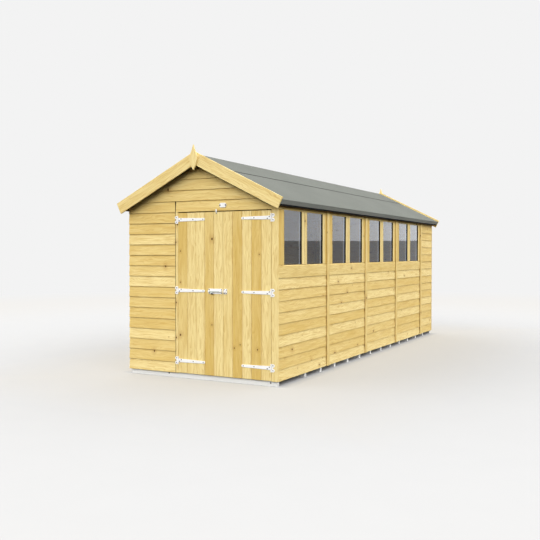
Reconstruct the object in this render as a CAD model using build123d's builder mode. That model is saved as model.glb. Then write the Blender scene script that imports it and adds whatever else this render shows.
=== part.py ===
# Wooden garden shed with an apex roof, double doors in the front gable and a window wall on the right.
# Millimetres, +Z up. The origin lies on the ground at the middle of the plan; the doors face -Y.
import os
from math import atan, cos, sin

from build123d import *

os.makedirs("parts", exist_ok=True)

# Plan of the walls
wall_width = 1800.0
panel_pitch = 1180.0
window_panels = 4
end_panel_length = 640.0
wall_length = window_panels * panel_pitch + end_panel_length
skin = 20.0
frame_depth = 30.0
stud_width = 45.0
joint_gap = 2.0
rear_joint = 300.0

# Heights
bearer_height = 50.0
bearer_width = 45.0
deck_thickness = 12.0
board_pitch = 110.5
window_rail_board_count = 9
door_head_board_count = 15
end_wall_board_count = 16
side_wall_drop = 3.5

# Windows, two lights in each panel
window_rail = 126.5
window_head = 107.5
side_stile = 131.0
mullion = 121.0
light_width = (panel_pitch - 2 * side_stile - mullion) / 2
pane_lap = 12.0
pane_thickness = 4.0

# Doors
door_opening = 1092.0
right_post_width = 70.0
left_post_width = 36.0
door_gap = 6.0
door_top_gap = 9.0
door_bottom_gap = 4.0
door_thickness = 14.0
door_width = (door_opening - 3 * door_gap) / 2
ledge_thickness = 18.0
ledge_height = 90.0
ledge_inset = 32.0
brace_width = 70.0
brace_end_gap = 4.0

# T hinges
hinge_from_bottom = 127.0
hinge_from_top = 70.5
hinge_sheet = 2.5
knuckle_radius = 5.0
pin_radius = 2.5
pin_clearance = 0.1
hinge_plate_width = 38.0
hinge_plate_height = 80.0
knuckle_gap = 1.0
strap_length = 330.0
strap_root = 38.0
strap_end = 24.0

# Pad bolt, bare plate and top stop
bolt_plate_length = 162.0
bolt_plate_height = 52.0
bolt_plate_inset = 4.0
bolt_sheet = 3.0
bolt_radius = 6.0
bolt_standoff = 14.0
bolt_clearance = 0.4
guide_length = 16.0
guide_height = 24.0
guide_inset = 4.0
bolt_tip_inset = 6.0
lug_length = 30.0
lug_thickness = 4.0
keeper_length = 42.0
staple_length = 16.0
staple_half_hole = 7.0
staple_clearance = 1.0
staple_bar = 5.0
plate_length = 82.0
plate_height = 55.0
plate_thickness = 4.0
stop_width = 14.0
stop_height = 60.0
stop_sheet = 3.0
stop_clearance = 5.0
stop_inset = 72.0

# Roof
roof_slope = 0.4965
roof_boards = 12.0
felt = 3.0
eave_overhang = 75.0
verge_overhang = 69.0
eave_band = 56.0
eave_batten = 30.0
purlin = 40.0
ridge_purlin_depth = 70.0
ridge_felt_reach = 355.0
barge_thickness = 18.0
barge_depth = 120.0
barge_rise = 26.5
barge_end_lap = 3.0
finial_height = 256.0
finial_width = 107.0
finial_waist = 129.0
finial_hollow = 5.5
finial_swell = 6.5
finial_thickness = 20.0
finial_rise = 66.0

# Cover strips and bearers
strip_width = 65.0
strip_thickness = 10.0
front_bearer_bay = 630.0
rear_bearer_count = 13

# Derived positions
half_width = wall_width / 2
y_front = -wall_length / 2
y_rear = wall_length / 2
z_wall = bearer_height
z_floor = bearer_height + deck_thickness
z_end_top = z_wall + end_wall_board_count * board_pitch
z_side_top = z_end_top - side_wall_drop
z_door_head = z_wall + door_head_board_count * board_pitch
z_window_rail = z_wall + window_rail_board_count * board_pitch
z_sill = z_window_rail + window_rail
z_glass_top = z_side_top - window_head
light_height = z_glass_top - z_sill
frame_outer = half_width - skin
frame_inner = frame_outer - frame_depth
joints = [y_front + panel_pitch * (i + 1) for i in range(window_panels)]

slope_angle = atan(roof_slope)
slope_cos = cos(slope_angle)
slope_sin = sin(slope_angle)
z_ridge = z_side_top + half_width * roof_slope + roof_boards / slope_cos
eave_run = (half_width + eave_overhang) / slope_cos
y_verge = y_rear + verge_overhang
y_barge = y_verge + barge_thickness

opening_right = half_width - right_post_width
opening_left = opening_right - door_opening
right_door_right = opening_right - door_gap
right_door_left = right_door_right - door_width
left_door_left = opening_left + door_gap
left_door_right = left_door_left + door_width
left_panel_right = opening_left - left_post_width
z_door_bottom = z_wall + door_bottom_gap
z_door_top = z_door_head - door_top_gap
door_meeting = (left_door_right + right_door_left) / 2
z_low_hinge = z_door_bottom + hinge_from_bottom
z_high_hinge = z_door_top - hinge_from_top
z_middle_hinge = (z_low_hinge + z_high_hinge) / 2
hinge_heights = (z_low_hinge, z_middle_hinge, z_high_hinge)
right_pin = opening_right - door_gap / 2
left_pin = opening_left + door_gap / 2
y_pin = y_front - knuckle_radius
y_bolt = y_front - bolt_standoff
z_bolt = z_middle_hinge

LOW = (Align.MIN, Align.MIN, Align.MIN)
FRONT = Plane.XZ.offset(-y_front)
REAR = Plane.XZ.offset(-y_rear)


def under_roof(x):
    """Height of the underside of the roof boards above the point x."""
    return z_side_top + (half_width - abs(x)) * roof_slope


def slope_point(side, run, depth):
    """Point on a roof section: run down the slope from the ridge, depth square into the roof."""
    return (side * (run * slope_cos - depth * slope_sin), z_ridge - run * slope_sin - depth * slope_cos)


def ridge_point(depth):
    """Point on the middle plane of the roof section, at a depth square to the slope."""
    return (0, z_ridge - depth / slope_cos)


# Base
with BuildPart() as floor_bearers:
    last_bearer = y_rear - skin - bearer_width
    bearer_step = (last_bearer - (y_front + front_bearer_bay)) / (rear_bearer_count - 1)
    bearer_starts = [y_front + skin]
    bearer_starts += [y_front + front_bearer_bay + bearer_step * i for i in range(rear_bearer_count)]
    with Locations(*[(0, y, 0) for y in bearer_starts]):
        Box(2 * frame_outer, bearer_width, bearer_height, align=(Align.CENTER, Align.MIN, Align.MIN))
floor_bearers.part.label = "floor_bearers"
export_step(floor_bearers.part, "parts/floor_bearers.step")

with BuildPart() as floor_deck:
    with Locations((0, 0, z_wall)):
        Box(2 * frame_outer, wall_length - 2 * skin, deck_thickness,
            align=(Align.CENTER, Align.CENTER, Align.MIN))
floor_deck.part.label = "floor_deck"
export_step(floor_deck.part, "parts/floor_deck.step")

# Side walls: the panels stand between the front and rear skins
panel_spans = []
for i in range(window_panels + 1):
    span_start = y_front + skin if i == 0 else joints[i - 1] + joint_gap / 2
    span_end = y_rear - skin if i == window_panels else joints[i] - joint_gap / 2
    panel_spans.append((span_start, span_end))

with BuildPart() as right_wall_panels:
    for i, (start, end) in enumerate(panel_spans):
        panel_top = z_window_rail if i < window_panels else z_side_top
        with Locations((frame_outer, start, z_wall)):
            Box(skin, end - start, panel_top - z_wall, align=LOW)
right_wall_panels.part.label = "right_wall_panels"
export_step(right_wall_panels.part, "parts/right_wall_panels.step")

with BuildPart() as left_wall_panels:
    for start, end in panel_spans:
        with Locations((-half_width, start, z_wall)):
            Box(skin, end - start, z_side_top - z_wall, align=LOW)
left_wall_panels.part.label = "left_wall_panels"
export_step(left_wall_panels.part, "parts/left_wall_panels.step")

for i in range(window_panels):
    start, end = panel_spans[i]
    centre = y_front + panel_pitch * (i + 0.5)
    light_offset = (mullion + light_width) / 2
    with BuildPart() as window_frame:
        with Locations((frame_outer, start, z_window_rail)):
            Box(skin, end - start, z_side_top - z_window_rail, align=LOW)
        with Locations((frame_outer + skin / 2, centre - light_offset, z_sill),
                       (frame_outer + skin / 2, centre + light_offset, z_sill)):
            Box(2 * skin, light_width, light_height,
                align=(Align.CENTER, Align.CENTER, Align.MIN), mode=Mode.SUBTRACT)
    window_frame.part.label = f"window_frame_{i + 1}"
    export_step(window_frame.part, f"parts/window_frame_{i + 1}.step")

with BuildPart() as window_panes:
    pane_centres = []
    for i in range(window_panels):
        for side in (-1, 1):
            pane_centres.append(y_front + panel_pitch * (i + 0.5) + side * (mullion + light_width) / 2)
    with Locations(*[(frame_outer, y, z_sill - pane_lap) for y in pane_centres]):
        Box(pane_thickness, light_width + 2 * pane_lap, light_height + 2 * pane_lap,
            align=(Align.MAX, Align.CENTER, Align.MIN))
window_panes.part.label = "window_panes"
export_step(window_panes.part, "parts/window_panes.step")

# Rear wall, a wide and a narrow panel under the gable
corner_in = half_width - (z_end_top - z_side_top) / roof_slope
with BuildPart() as rear_wall_panels:
    with BuildSketch(REAR):
        with BuildLine():
            Polyline((-half_width, z_wall), (rear_joint - joint_gap / 2, z_wall),
                     (rear_joint - joint_gap / 2, z_end_top), (-corner_in, z_end_top),
                     (-half_width, z_side_top), close=True)
        make_face()
        with BuildLine():
            Polyline((half_width, z_wall), (rear_joint + joint_gap / 2, z_wall),
                     (rear_joint + joint_gap / 2, z_end_top), (corner_in, z_end_top),
                     (half_width, z_side_top), close=True)
        make_face()
    extrude(amount=skin)
rear_wall_panels.part.label = "rear_wall_panels"
export_step(rear_wall_panels.part, "parts/rear_wall_panels.step")

with BuildPart() as rear_gable:
    with BuildSketch(REAR):
        with BuildLine():
            Polyline((-corner_in, z_end_top), (corner_in, z_end_top), (0, under_roof(0)), close=True)
        make_face()
    extrude(amount=skin)
rear_gable.part.label = "rear_gable"
export_step(rear_gable.part, "parts/rear_gable.step")

# Front wall: boarded panel, two door posts, header and gable
with BuildPart() as front_left_panel:
    with BuildSketch(FRONT):
        with BuildLine():
            Polyline((-half_width, z_wall), (left_panel_right - joint_gap, z_wall),
                     (left_panel_right - joint_gap, z_end_top), (-corner_in, z_end_top),
                     (-half_width, z_side_top), close=True)
        make_face()
    extrude(amount=-skin)
front_left_panel.part.label = "front_left_panel"
export_step(front_left_panel.part, "parts/front_left_panel.step")

with BuildPart() as left_door_post:
    with Locations((left_panel_right, y_front, z_wall)):
        Box(left_post_width, skin, z_door_head - z_wall, align=LOW)
left_door_post.part.label = "left_door_post"
export_step(left_door_post.part, "parts/left_door_post.step")

with BuildPart() as right_door_post:
    with Locations((opening_right, y_front, z_wall)):
        Box(right_post_width, skin, z_door_head - z_wall, align=LOW)
right_door_post.part.label = "right_door_post"
export_step(right_door_post.part, "parts/right_door_post.step")

with BuildPart() as door_header:
    with BuildSketch(FRONT):
        with BuildLine():
            Polyline((left_panel_right, z_door_head), (half_width, z_door_head),
                     (half_width, z_side_top), (corner_in, z_end_top),
                     (left_panel_right, z_end_top), close=True)
        make_face()
    extrude(amount=-skin)
door_header.part.label = "door_header"
export_step(door_header.part, "parts/door_header.step")

with BuildPart() as front_gable:
    with BuildSketch(FRONT):
        with BuildLine():
            Polyline((-corner_in, z_end_top), (corner_in, z_end_top), (0, under_roof(0)), close=True)
        make_face()
    extrude(amount=-skin)
front_gable.part.label = "front_gable"
export_step(front_gable.part, "parts/front_gable.step")

with BuildPart() as blank_plate:
    with Locations((door_meeting, y_front, (z_door_head + z_end_top) / 2)):
        Box(plate_length, plate_thickness, plate_height, align=(Align.CENTER, Align.MAX, Align.CENTER))
blank_plate.part.label = "blank_plate"
export_step(blank_plate.part, "parts/blank_plate.step")

# Cover strips over the panel joints of both sides and the rear
with BuildPart() as cover_strips:
    strip_top = z_side_top - strip_thickness * roof_slope
    for y in joints:
        with Locations((half_width, y, z_wall)):
            Box(strip_thickness, strip_width, strip_top - z_wall,
                align=(Align.MIN, Align.CENTER, Align.MIN))
        with Locations((-half_width, y, z_wall)):
            Box(strip_thickness, strip_width, strip_top - z_wall,
                align=(Align.MAX, Align.CENTER, Align.MIN))
    with Locations((rear_joint, y_rear, z_wall)):
        Box(strip_width, strip_thickness, z_end_top - z_wall,
            align=(Align.CENTER, Align.MIN, Align.MIN))
cover_strips.part.label = "cover_strips"
export_step(cover_strips.part, "parts/cover_strips.step")

# Timber frame inside the skins
y_frame_front = y_front + skin
y_frame_rear = y_rear - skin
side_frame_start = y_frame_front + frame_depth + joint_gap
side_frame_end = y_frame_rear - frame_depth - joint_gap
z_side_plate = z_side_top - stud_width
z_end_plate = z_end_top - stud_width

with BuildPart() as wall_plates:
    for z in (z_floor, z_side_plate):
        for x in (frame_inner, -frame_outer):
            with Locations((x, side_frame_start, z)):
                Box(frame_depth, side_frame_end - side_frame_start, stud_width, align=LOW)
    for z in (z_floor, z_end_plate):
        with Locations((-frame_outer, y_frame_rear - frame_depth, z)):
            Box(2 * frame_outer, frame_depth, stud_width, align=LOW)
    with Locations((-frame_outer, y_frame_front, z_floor)):
        Box(opening_left + frame_outer, frame_depth, stud_width, align=LOW)
    with Locations((-frame_outer, y_frame_front, z_end_plate)):
        Box(2 * frame_outer, frame_depth, stud_width, align=LOW)
wall_plates.part.label = "wall_plates"
export_step(wall_plates.part, "parts/wall_plates.step")

with BuildPart() as wall_studs:
    z_stud = z_floor + stud_width
    side_stud_starts = [side_frame_start]
    side_stud_starts += [y_front + panel_pitch * (i + 1) / 2 - stud_width / 2
                         for i in range(2 * window_panels)]
    side_stud_starts += [side_frame_end - stud_width]
    for x in (frame_inner, -frame_outer):
        with Locations(*[(x, y, z_stud) for y in side_stud_starts]):
            Box(frame_depth, stud_width, z_side_plate - z_stud, align=LOW)
    rear_stud_starts = (-frame_outer, -rear_joint - stud_width / 2, rear_joint - stud_width / 2,
                        frame_outer - stud_width)
    with Locations(*[(x, y_frame_rear - frame_depth, z_stud) for x in rear_stud_starts]):
        Box(stud_width, frame_depth, z_end_plate - z_stud, align=LOW)
    with Locations((-frame_outer, y_frame_front, z_stud),
                   (opening_left - stud_width, y_frame_front, z_stud)):
        Box(stud_width, frame_depth, z_end_plate - z_stud, align=LOW)
    with Locations((opening_right, y_frame_front, z_floor)):
        Box(right_post_width - skin, frame_depth, z_end_plate - z_floor, align=LOW)
wall_studs.part.label = "wall_studs"
export_step(wall_studs.part, "parts/wall_studs.step")

# Roof
roof_length = 2 * y_verge
VERGE = Plane.XZ.offset(y_verge)
PURLIN_END = Plane.XZ.offset(y_rear - skin)
purlin_length = wall_length - 2 * skin

with BuildPart() as roof_purlins:
    with BuildSketch(PURLIN_END):
        with BuildLine():
            Polyline((-purlin / 2, under_roof(purlin / 2)), (0, under_roof(0)),
                     (purlin / 2, under_roof(purlin / 2)),
                     (purlin / 2, under_roof(0) - ridge_purlin_depth),
                     (-purlin / 2, under_roof(0) - ridge_purlin_depth), close=True)
        make_face()
        for side in (-1, 1):
            middle = eave_run / 2
            with BuildLine():
                Polyline(slope_point(side, middle - purlin / 2, roof_boards),
                         slope_point(side, middle + purlin / 2, roof_boards),
                         slope_point(side, middle + purlin / 2, roof_boards + purlin),
                         slope_point(side, middle - purlin / 2, roof_boards + purlin), close=True)
            make_face()
    extrude(amount=-purlin_length)
roof_purlins.part.label = "roof_purlins"
export_step(roof_purlins.part, "parts/roof_purlins.step")

with BuildPart() as eave_battens:
    with BuildSketch(VERGE):
        for side in (-1, 1):
            with BuildLine():
                Polyline(slope_point(side, eave_run - eave_batten, roof_boards),
                         slope_point(side, eave_run, roof_boards),
                         slope_point(side, eave_run, eave_band - felt),
                         slope_point(side, eave_run - eave_batten, eave_band - felt), close=True)
            make_face()
    extrude(amount=-roof_length)
eave_battens.part.label = "eave_battens"
export_step(eave_battens.part, "parts/eave_battens.step")

for side, hand in ((-1, "left"), (1, "right")):
    with BuildPart() as roof_deck:
        with BuildSketch(VERGE):
            with BuildLine():
                Polyline(ridge_point(0), slope_point(side, eave_run, 0),
                         slope_point(side, eave_run, roof_boards), ridge_point(roof_boards), close=True)
            make_face()
        extrude(amount=-roof_length)
    roof_deck.part.label = f"{hand}_roof_boards"
    export_step(roof_deck.part, f"parts/{hand}_roof_boards.step")

    with BuildPart() as roof_felt:
        with BuildSketch(VERGE):
            with BuildLine():
                Polyline(ridge_point(-felt), slope_point(side, eave_run + felt, -felt),
                         slope_point(side, eave_run + felt, eave_band - felt),
                         slope_point(side, eave_run, eave_band - felt),
                         slope_point(side, eave_run, 0), ridge_point(0), close=True)
            make_face()
        extrude(amount=-roof_length)
    roof_felt.part.label = f"{hand}_roof_felt"
    export_step(roof_felt.part, f"parts/{hand}_roof_felt.step")

with BuildPart() as ridge_felt:
    reach = ridge_felt_reach / slope_cos
    with BuildSketch(VERGE):
        with BuildLine():
            Polyline(slope_point(-1, reach, -felt), slope_point(-1, reach, -2 * felt),
                     ridge_point(-2 * felt), slope_point(1, reach, -2 * felt),
                     slope_point(1, reach, -felt), ridge_point(-felt), close=True)
        make_face()
    extrude(amount=-roof_length)
ridge_felt.part.label = "ridge_felt"
export_step(ridge_felt.part, "parts/ridge_felt.step")

# Bargeboards, cut plumb at the ridge and square at the eaves
barge_end = eave_run + felt + barge_end_lap
for end, y_end in (("front", -y_verge), ("rear", y_verge + barge_thickness)):
    for side, hand in ((-1, "left"), (1, "right")):
        with BuildPart() as bargeboard:
            with BuildSketch(Plane.XZ.offset(-y_end)):
                with BuildLine():
                    Polyline(ridge_point(-barge_rise), slope_point(side, barge_end, -barge_rise),
                             slope_point(side, barge_end, barge_depth - barge_rise),
                             ridge_point(barge_depth - barge_rise), close=True)
                make_face()
            extrude(amount=barge_thickness)
        bargeboard.part.label = f"{end}_{hand}_bargeboard"
        export_step(bargeboard.part, f"parts/{end}_{hand}_bargeboard.step")

# Finials: slim spear boards over the bargeboard mitres
z_tip = ridge_point(-barge_rise)[1] + finial_rise
z_waist = z_tip - finial_height + finial_waist
for end, y_end in (("front", -y_barge), ("rear", y_barge + finial_thickness)):
    with BuildPart() as finial:
        with BuildSketch(Plane.XZ.offset(-y_end)):
            with BuildLine():
                SagittaArc((0, z_tip), (finial_width / 2, z_waist), -finial_hollow)
                SagittaArc((finial_width / 2, z_waist), (0, z_tip - finial_height), finial_swell)
                mirror(about=Plane.YZ)
            make_face()
        extrude(amount=finial_thickness)
    finial.part.label = f"{end}_finial"
    export_step(finial.part, f"parts/{end}_finial.step")

# Doors: boarded leaves with ledges and braces behind them
for hand, door_left, hinge_side in (("left", left_door_left, -1), ("right", right_door_left, 1)):
    with BuildPart() as door:
        with Locations((door_left, y_front, z_door_bottom)):
            Box(door_width, door_thickness, z_door_top - z_door_bottom, align=LOW)
    door.part.label = f"{hand}_door"
    export_step(door.part, f"parts/{hand}_door.step")

    with BuildPart() as door_ledges:
        ledge_left = door_left + ledge_inset
        ledge_length = door_width - 2 * ledge_inset
        with Locations(*[(ledge_left, y_front + door_thickness, z) for z in hinge_heights]):
            Box(ledge_length, ledge_thickness, ledge_height, align=(Align.MIN, Align.MIN, Align.CENTER))
        with BuildSketch(Plane.XZ.offset(-(y_front + door_thickness))):
            for lower, upper in zip(hinge_heights[:-1], hinge_heights[1:]):
                z_low = lower + ledge_height / 2 + brace_end_gap
                z_high = upper - ledge_height / 2 - brace_end_gap
                x_middle = door_left + door_width / 2
                foot = x_middle + hinge_side * (ledge_length - brace_width) / 2
                head = x_middle - hinge_side * (ledge_length - brace_width) / 2
                with BuildLine():
                    Polyline((foot - brace_width / 2, z_low), (foot + brace_width / 2, z_low),
                             (head + brace_width / 2, z_high), (head - brace_width / 2, z_high), close=True)
                make_face()
        extrude(amount=-ledge_thickness)
    door_ledges.part.label = f"{hand}_door_ledges"
    export_step(door_ledges.part, f"parts/{hand}_door_ledges.step")

# T hinges: cross plates with their pins on the posts, straps on the doors
with BuildPart() as hinge_plates:
    for pin_x, away in ((left_pin, -1), (right_pin, 1)):
        for z_hinge in hinge_heights:
            with Locations((pin_x + away * hinge_plate_width / 2, y_front, z_hinge)):
                Box(hinge_plate_width, hinge_sheet, hinge_plate_height,
                    align=(Align.CENTER, Align.MAX, Align.CENTER))
            with Locations((pin_x, y_pin, z_hinge)):
                Cylinder(knuckle_radius, hinge_plate_height)
            with Locations((pin_x, y_pin, z_hinge)):
                Cylinder(2 * knuckle_radius, strap_root + 2 * knuckle_gap, mode=Mode.SUBTRACT)
            with Locations((pin_x, y_pin, z_hinge)):
                Cylinder(pin_radius, hinge_plate_height)
hinge_plates.part.label = "hinge_plates"
export_step(hinge_plates.part, "parts/hinge_plates.step")

for hand, pin_x, away in (("left", left_pin, 1), ("right", right_pin, -1)):
    with BuildPart() as hinge_straps:
        with BuildSketch(FRONT):
            for z_hinge in hinge_heights:
                with BuildLine():
                    Polyline((pin_x, z_hinge - strap_root / 2),
                             (pin_x + away * strap_root / 2, z_hinge - strap_root / 2),
                             (pin_x + away * (strap_length - strap_end / 2), z_hinge - strap_end / 2),
                             (pin_x + away * strap_length, z_hinge),
                             (pin_x + away * (strap_length - strap_end / 2), z_hinge + strap_end / 2),
                             (pin_x + away * strap_root / 2, z_hinge + strap_root / 2),
                             (pin_x, z_hinge + strap_root / 2), close=True)
                make_face()
        extrude(amount=hinge_sheet)
        with Locations(*[(pin_x, y_pin, z) for z in hinge_heights]):
            Cylinder(knuckle_radius, strap_root)
        with Locations(*[(pin_x, y_pin, z) for z in hinge_heights]):
            Cylinder(pin_radius + pin_clearance, 2 * strap_root, mode=Mode.SUBTRACT)
    hinge_straps.part.label = f"{hand}_hinge_straps"
    export_step(hinge_straps.part, f"parts/{hand}_hinge_straps.step")

# Pad bolt: guide plate and bar on the left door, keeper on the right door, bar drawn back
bolt_plate_right = left_door_right - bolt_plate_inset
bolt_plate_left = bolt_plate_right - bolt_plate_length
guide_depth = bolt_standoff + bolt_radius + bolt_sheet
with BuildPart() as pad_bolt_plate:
    with Locations((bolt_plate_left, y_front, z_bolt)):
        Box(bolt_plate_length, bolt_sheet, bolt_plate_height, align=(Align.MIN, Align.MAX, Align.CENTER))
    with Locations((bolt_plate_left + guide_inset, y_front, z_bolt),
                   (bolt_plate_right - guide_inset - guide_length, y_front, z_bolt)):
        Box(guide_length, guide_depth, guide_height, align=(Align.MIN, Align.MAX, Align.CENTER))
    with Locations((bolt_plate_left + bolt_plate_length / 2, y_bolt, z_bolt)):
        Cylinder(bolt_radius + bolt_clearance, 2 * bolt_plate_length, rotation=(0, 90, 0), mode=Mode.SUBTRACT)
pad_bolt_plate.part.label = "pad_bolt_plate"
export_step(pad_bolt_plate.part, "parts/pad_bolt_plate.step")

with BuildPart() as pad_bolt_bar:
    bar_right = left_door_right - bolt_tip_inset
    bar_left = bolt_plate_left + guide_inset / 2
    with Locations(((bar_left + bar_right) / 2, y_bolt, z_bolt)):
        Cylinder(bolt_radius, bar_right - bar_left, rotation=(0, 90, 0))
    with Locations((bolt_plate_left + 2 * guide_inset + guide_length, y_bolt, z_bolt)):
        Box(lug_length, lug_thickness, bolt_plate_height / 2, align=(Align.MIN, Align.CENTER, Align.MAX))
pad_bolt_bar.part.label = "pad_bolt_bar"
export_step(pad_bolt_bar.part, "parts/pad_bolt_bar.step")

with BuildPart() as pad_bolt_keeper:
    keeper_left = right_door_left + bolt_plate_inset
    staple_left = keeper_left + (keeper_length - staple_length) / 2
    staple_hole = bolt_standoff + bolt_radius + staple_clearance
    with Locations((keeper_left, y_front, z_bolt)):
        Box(keeper_length, bolt_sheet, bolt_plate_height, align=(Align.MIN, Align.MAX, Align.CENTER))
    with Locations((staple_left, y_front, z_bolt)):
        Box(staple_length, staple_hole + staple_bar, 2 * (staple_half_hole + staple_bar),
            align=(Align.MIN, Align.MAX, Align.CENTER))
    with Locations((staple_left, y_front - bolt_sheet, z_bolt)):
        Box(staple_length, staple_hole - bolt_sheet, 2 * staple_half_hole,
            align=(Align.MIN, Align.MAX, Align.CENTER), mode=Mode.SUBTRACT)
pad_bolt_keeper.part.label = "pad_bolt_keeper"
export_step(pad_bolt_keeper.part, "parts/pad_bolt_keeper.step")

# Cranked stop on the head of the left door, standing clear of the header
with BuildPart() as door_stop:
    x_stop = left_door_right - stop_inset
    with Locations((x_stop, y_front, z_door_top)):
        Box(stop_width, stop_clearance + stop_sheet, stop_sheet, align=(Align.CENTER, Align.MAX, Align.MAX))
    with Locations((x_stop, y_front, z_door_top)):
        Box(stop_width, stop_sheet, stop_height / 2, align=(Align.CENTER, Align.MAX, Align.MAX))
    with Locations((x_stop, y_front - stop_clearance, z_door_top - stop_sheet)):
        Box(stop_width, stop_sheet, stop_height / 2, align=(Align.CENTER, Align.MAX, Align.MIN))
door_stop.part.label = "door_stop"
export_step(door_stop.part, "parts/door_stop.step")
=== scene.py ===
# %% [markdown]
# # A wooden garden shed
# The shed is a treated pine apex shed: overlap boards on a light frame, ledged double doors in the front
# gable, four window panels down the right side and a felted roof. The CAD frame gives each size and place,
# and this lesson dresses it: boards and joinery first, then felt and ironmongery, then camera and light.

# %% Load the frame
import math
import random

import bpy
from mathutils import Matrix, Vector


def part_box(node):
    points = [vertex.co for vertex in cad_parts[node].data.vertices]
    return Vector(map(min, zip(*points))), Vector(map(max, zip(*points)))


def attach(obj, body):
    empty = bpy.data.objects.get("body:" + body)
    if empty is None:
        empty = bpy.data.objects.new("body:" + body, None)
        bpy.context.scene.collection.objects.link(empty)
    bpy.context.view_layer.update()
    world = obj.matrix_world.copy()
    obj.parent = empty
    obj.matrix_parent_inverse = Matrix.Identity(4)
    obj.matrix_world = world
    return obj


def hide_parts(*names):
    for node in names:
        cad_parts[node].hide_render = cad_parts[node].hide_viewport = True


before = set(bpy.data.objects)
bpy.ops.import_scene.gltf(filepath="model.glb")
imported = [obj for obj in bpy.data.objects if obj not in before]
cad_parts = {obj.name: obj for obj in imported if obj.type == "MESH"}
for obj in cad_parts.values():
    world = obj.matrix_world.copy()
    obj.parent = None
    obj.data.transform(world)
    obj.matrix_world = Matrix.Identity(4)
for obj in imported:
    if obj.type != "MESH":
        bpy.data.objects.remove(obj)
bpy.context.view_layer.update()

# %% [markdown]
# ## Bench tools
# A joiner has a few moves that come back all day: cut a block, pick a face, ease an arris, saw along a line,
# copy a stick and nail sticks together. Each is one small function around Blender's own operators, so the
# steps below read like work on a bench. Everything is deselected first, because an operator acts on all
# that is selected.

# %% Bench tools
NEAR = 0.001  # metres within which a picked part counts as lying on a plane
FACING = 0.9  # cosine above which a face or an edge counts as pointing along an axis
# metres by which the sharp edges of each kind of piece are eased
ARRIS = {"board": 0.0012, "door_board": 0.0005, "sawn_timber": 0.0015, "post": 0.002, "bargeboard": 0.0022,
         "finial": 0.0018, "stile": 0.0018, "rail": 0.0012, "reveal_shade": 0.001, "thin_strip": 0.0005,
         "bearer": 0.0008, "eave_shade_strip": 0.003, "shade_line": 0.001, "hinge_plate": 0.0005,
         "hinge_strap": 0.0008, "pressed_sheet": 0.0006, "bolt_bar": 0.001, "bolt_lug": 0.0008,
         "bolt_lug_tip": 0.003, "keeper": 0.001, "stop": 0.0008}


def only(piece):
    """Leaves one object selected and active."""
    bpy.ops.object.select_all(action="DESELECT")
    piece.select_set(True)
    bpy.context.view_layer.objects.active = piece


def block(low, high):
    """A sawn block between two corners, with its place in its mesh."""
    bpy.ops.object.select_all(action="DESELECT")
    low, high = Vector(low), Vector(high)
    bpy.ops.mesh.primitive_cube_add(size=1, location=(low + high) / 2, scale=high - low)
    bpy.ops.object.transform_apply(location=True, rotation=True, scale=True)
    return bpy.context.object


def pick(piece, kind, test):
    """Opens a piece in edit mode with those faces, edges or vertices selected that pass a test."""
    only(piece)
    bpy.ops.object.mode_set(mode="EDIT")
    bpy.ops.mesh.select_mode(type=kind)
    bpy.ops.mesh.select_all(action="DESELECT")
    bpy.ops.object.mode_set(mode="OBJECT")
    mesh = piece.data
    if kind == "FACE":
        for face in mesh.polygons:
            face.select = test(face.center, face.normal)
    if kind == "EDGE":
        for edge in mesh.edges:
            start, end = (mesh.vertices[i].co for i in edge.vertices)
            edge.select = test((start + end) / 2, (end - start).normalized())
    if kind == "VERT":
        for vertex in mesh.vertices:
            vertex.select = test(vertex.co, vertex.normal)
    bpy.ops.object.mode_set(mode="EDIT")


def done():
    """Closes edit mode."""
    bpy.ops.object.mode_set(mode="OBJECT")


def apply(piece, kind, **settings):
    """Adds a modifier with its settings and applies it."""
    only(piece)
    modifier = piece.modifiers.new(kind.lower(), kind)
    for key, value in settings.items():
        setattr(modifier, key, value)
    bpy.ops.object.modifier_apply(modifier=modifier.name)
    return piece


def ease(piece, width, segments=1):
    """Takes the sharp arrises off, as sandpaper does."""
    return apply(piece, "BEVEL", width=width, segments=segments, limit_method="ANGLE",
                 angle_limit=math.radians(30))


def saw(piece, point, normal):
    """Saws a piece along a plane, keeps what lies behind the plane and closes the cut."""
    only(piece)
    bpy.ops.object.mode_set(mode="EDIT")
    bpy.ops.mesh.select_all(action="SELECT")
    bpy.ops.mesh.bisect(plane_co=point, plane_no=normal, use_fill=True, clear_outer=True)
    done()


def copied(piece, matrix):
    """A twin with a mesh of its own, moved by a matrix."""
    twin = piece.copy()
    twin.data = piece.data.copy()
    twin.data.transform(matrix)
    bpy.context.collection.objects.link(twin)
    return twin


def scrap(*pieces):
    """Sweeps pattern pieces off the bench once they have been copied."""
    for piece in pieces:
        bpy.data.objects.remove(piece)


def joined(name, pieces):
    """Joins pieces into one mesh under one name."""
    bpy.ops.object.select_all(action="DESELECT")
    for piece in pieces:
        piece.select_set(True)
    bpy.context.view_layer.objects.active = pieces[0]
    bpy.ops.object.join()
    pieces[0].name = name
    return pieces[0]


def fit(piece, material, body, slot, *nodes):
    """Gives a finished piece its material and body and hides the CAD nodes it stands for; slot is not used.
    """
    piece.data.materials.clear()
    piece.data.materials.append(material)
    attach(piece, body)
    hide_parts(*nodes)
    print(piece.name, "has", len(piece.data.polygons), "faces and rides on", body)
    return piece


print("bench tools ready")

# %% [markdown]
# ## Wood that belongs to each board
# On the real shed no two boards come from the same place in a log. A pattern in plain object coordinates
# would run straight through every joint, so each board carries its own wood instead: an attribute with the
# place along, across and into the board in metres, shifted to a log of its own, and one number for its tone.

# %% Wood for a board
yard = random.Random(11)
LOG_REACH = 40      # metres of log to cut a board from
STICK_SPREAD = 0.1  # how far the tones of sticks of one kind differ
FRAME_TONE = 0.5


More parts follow.
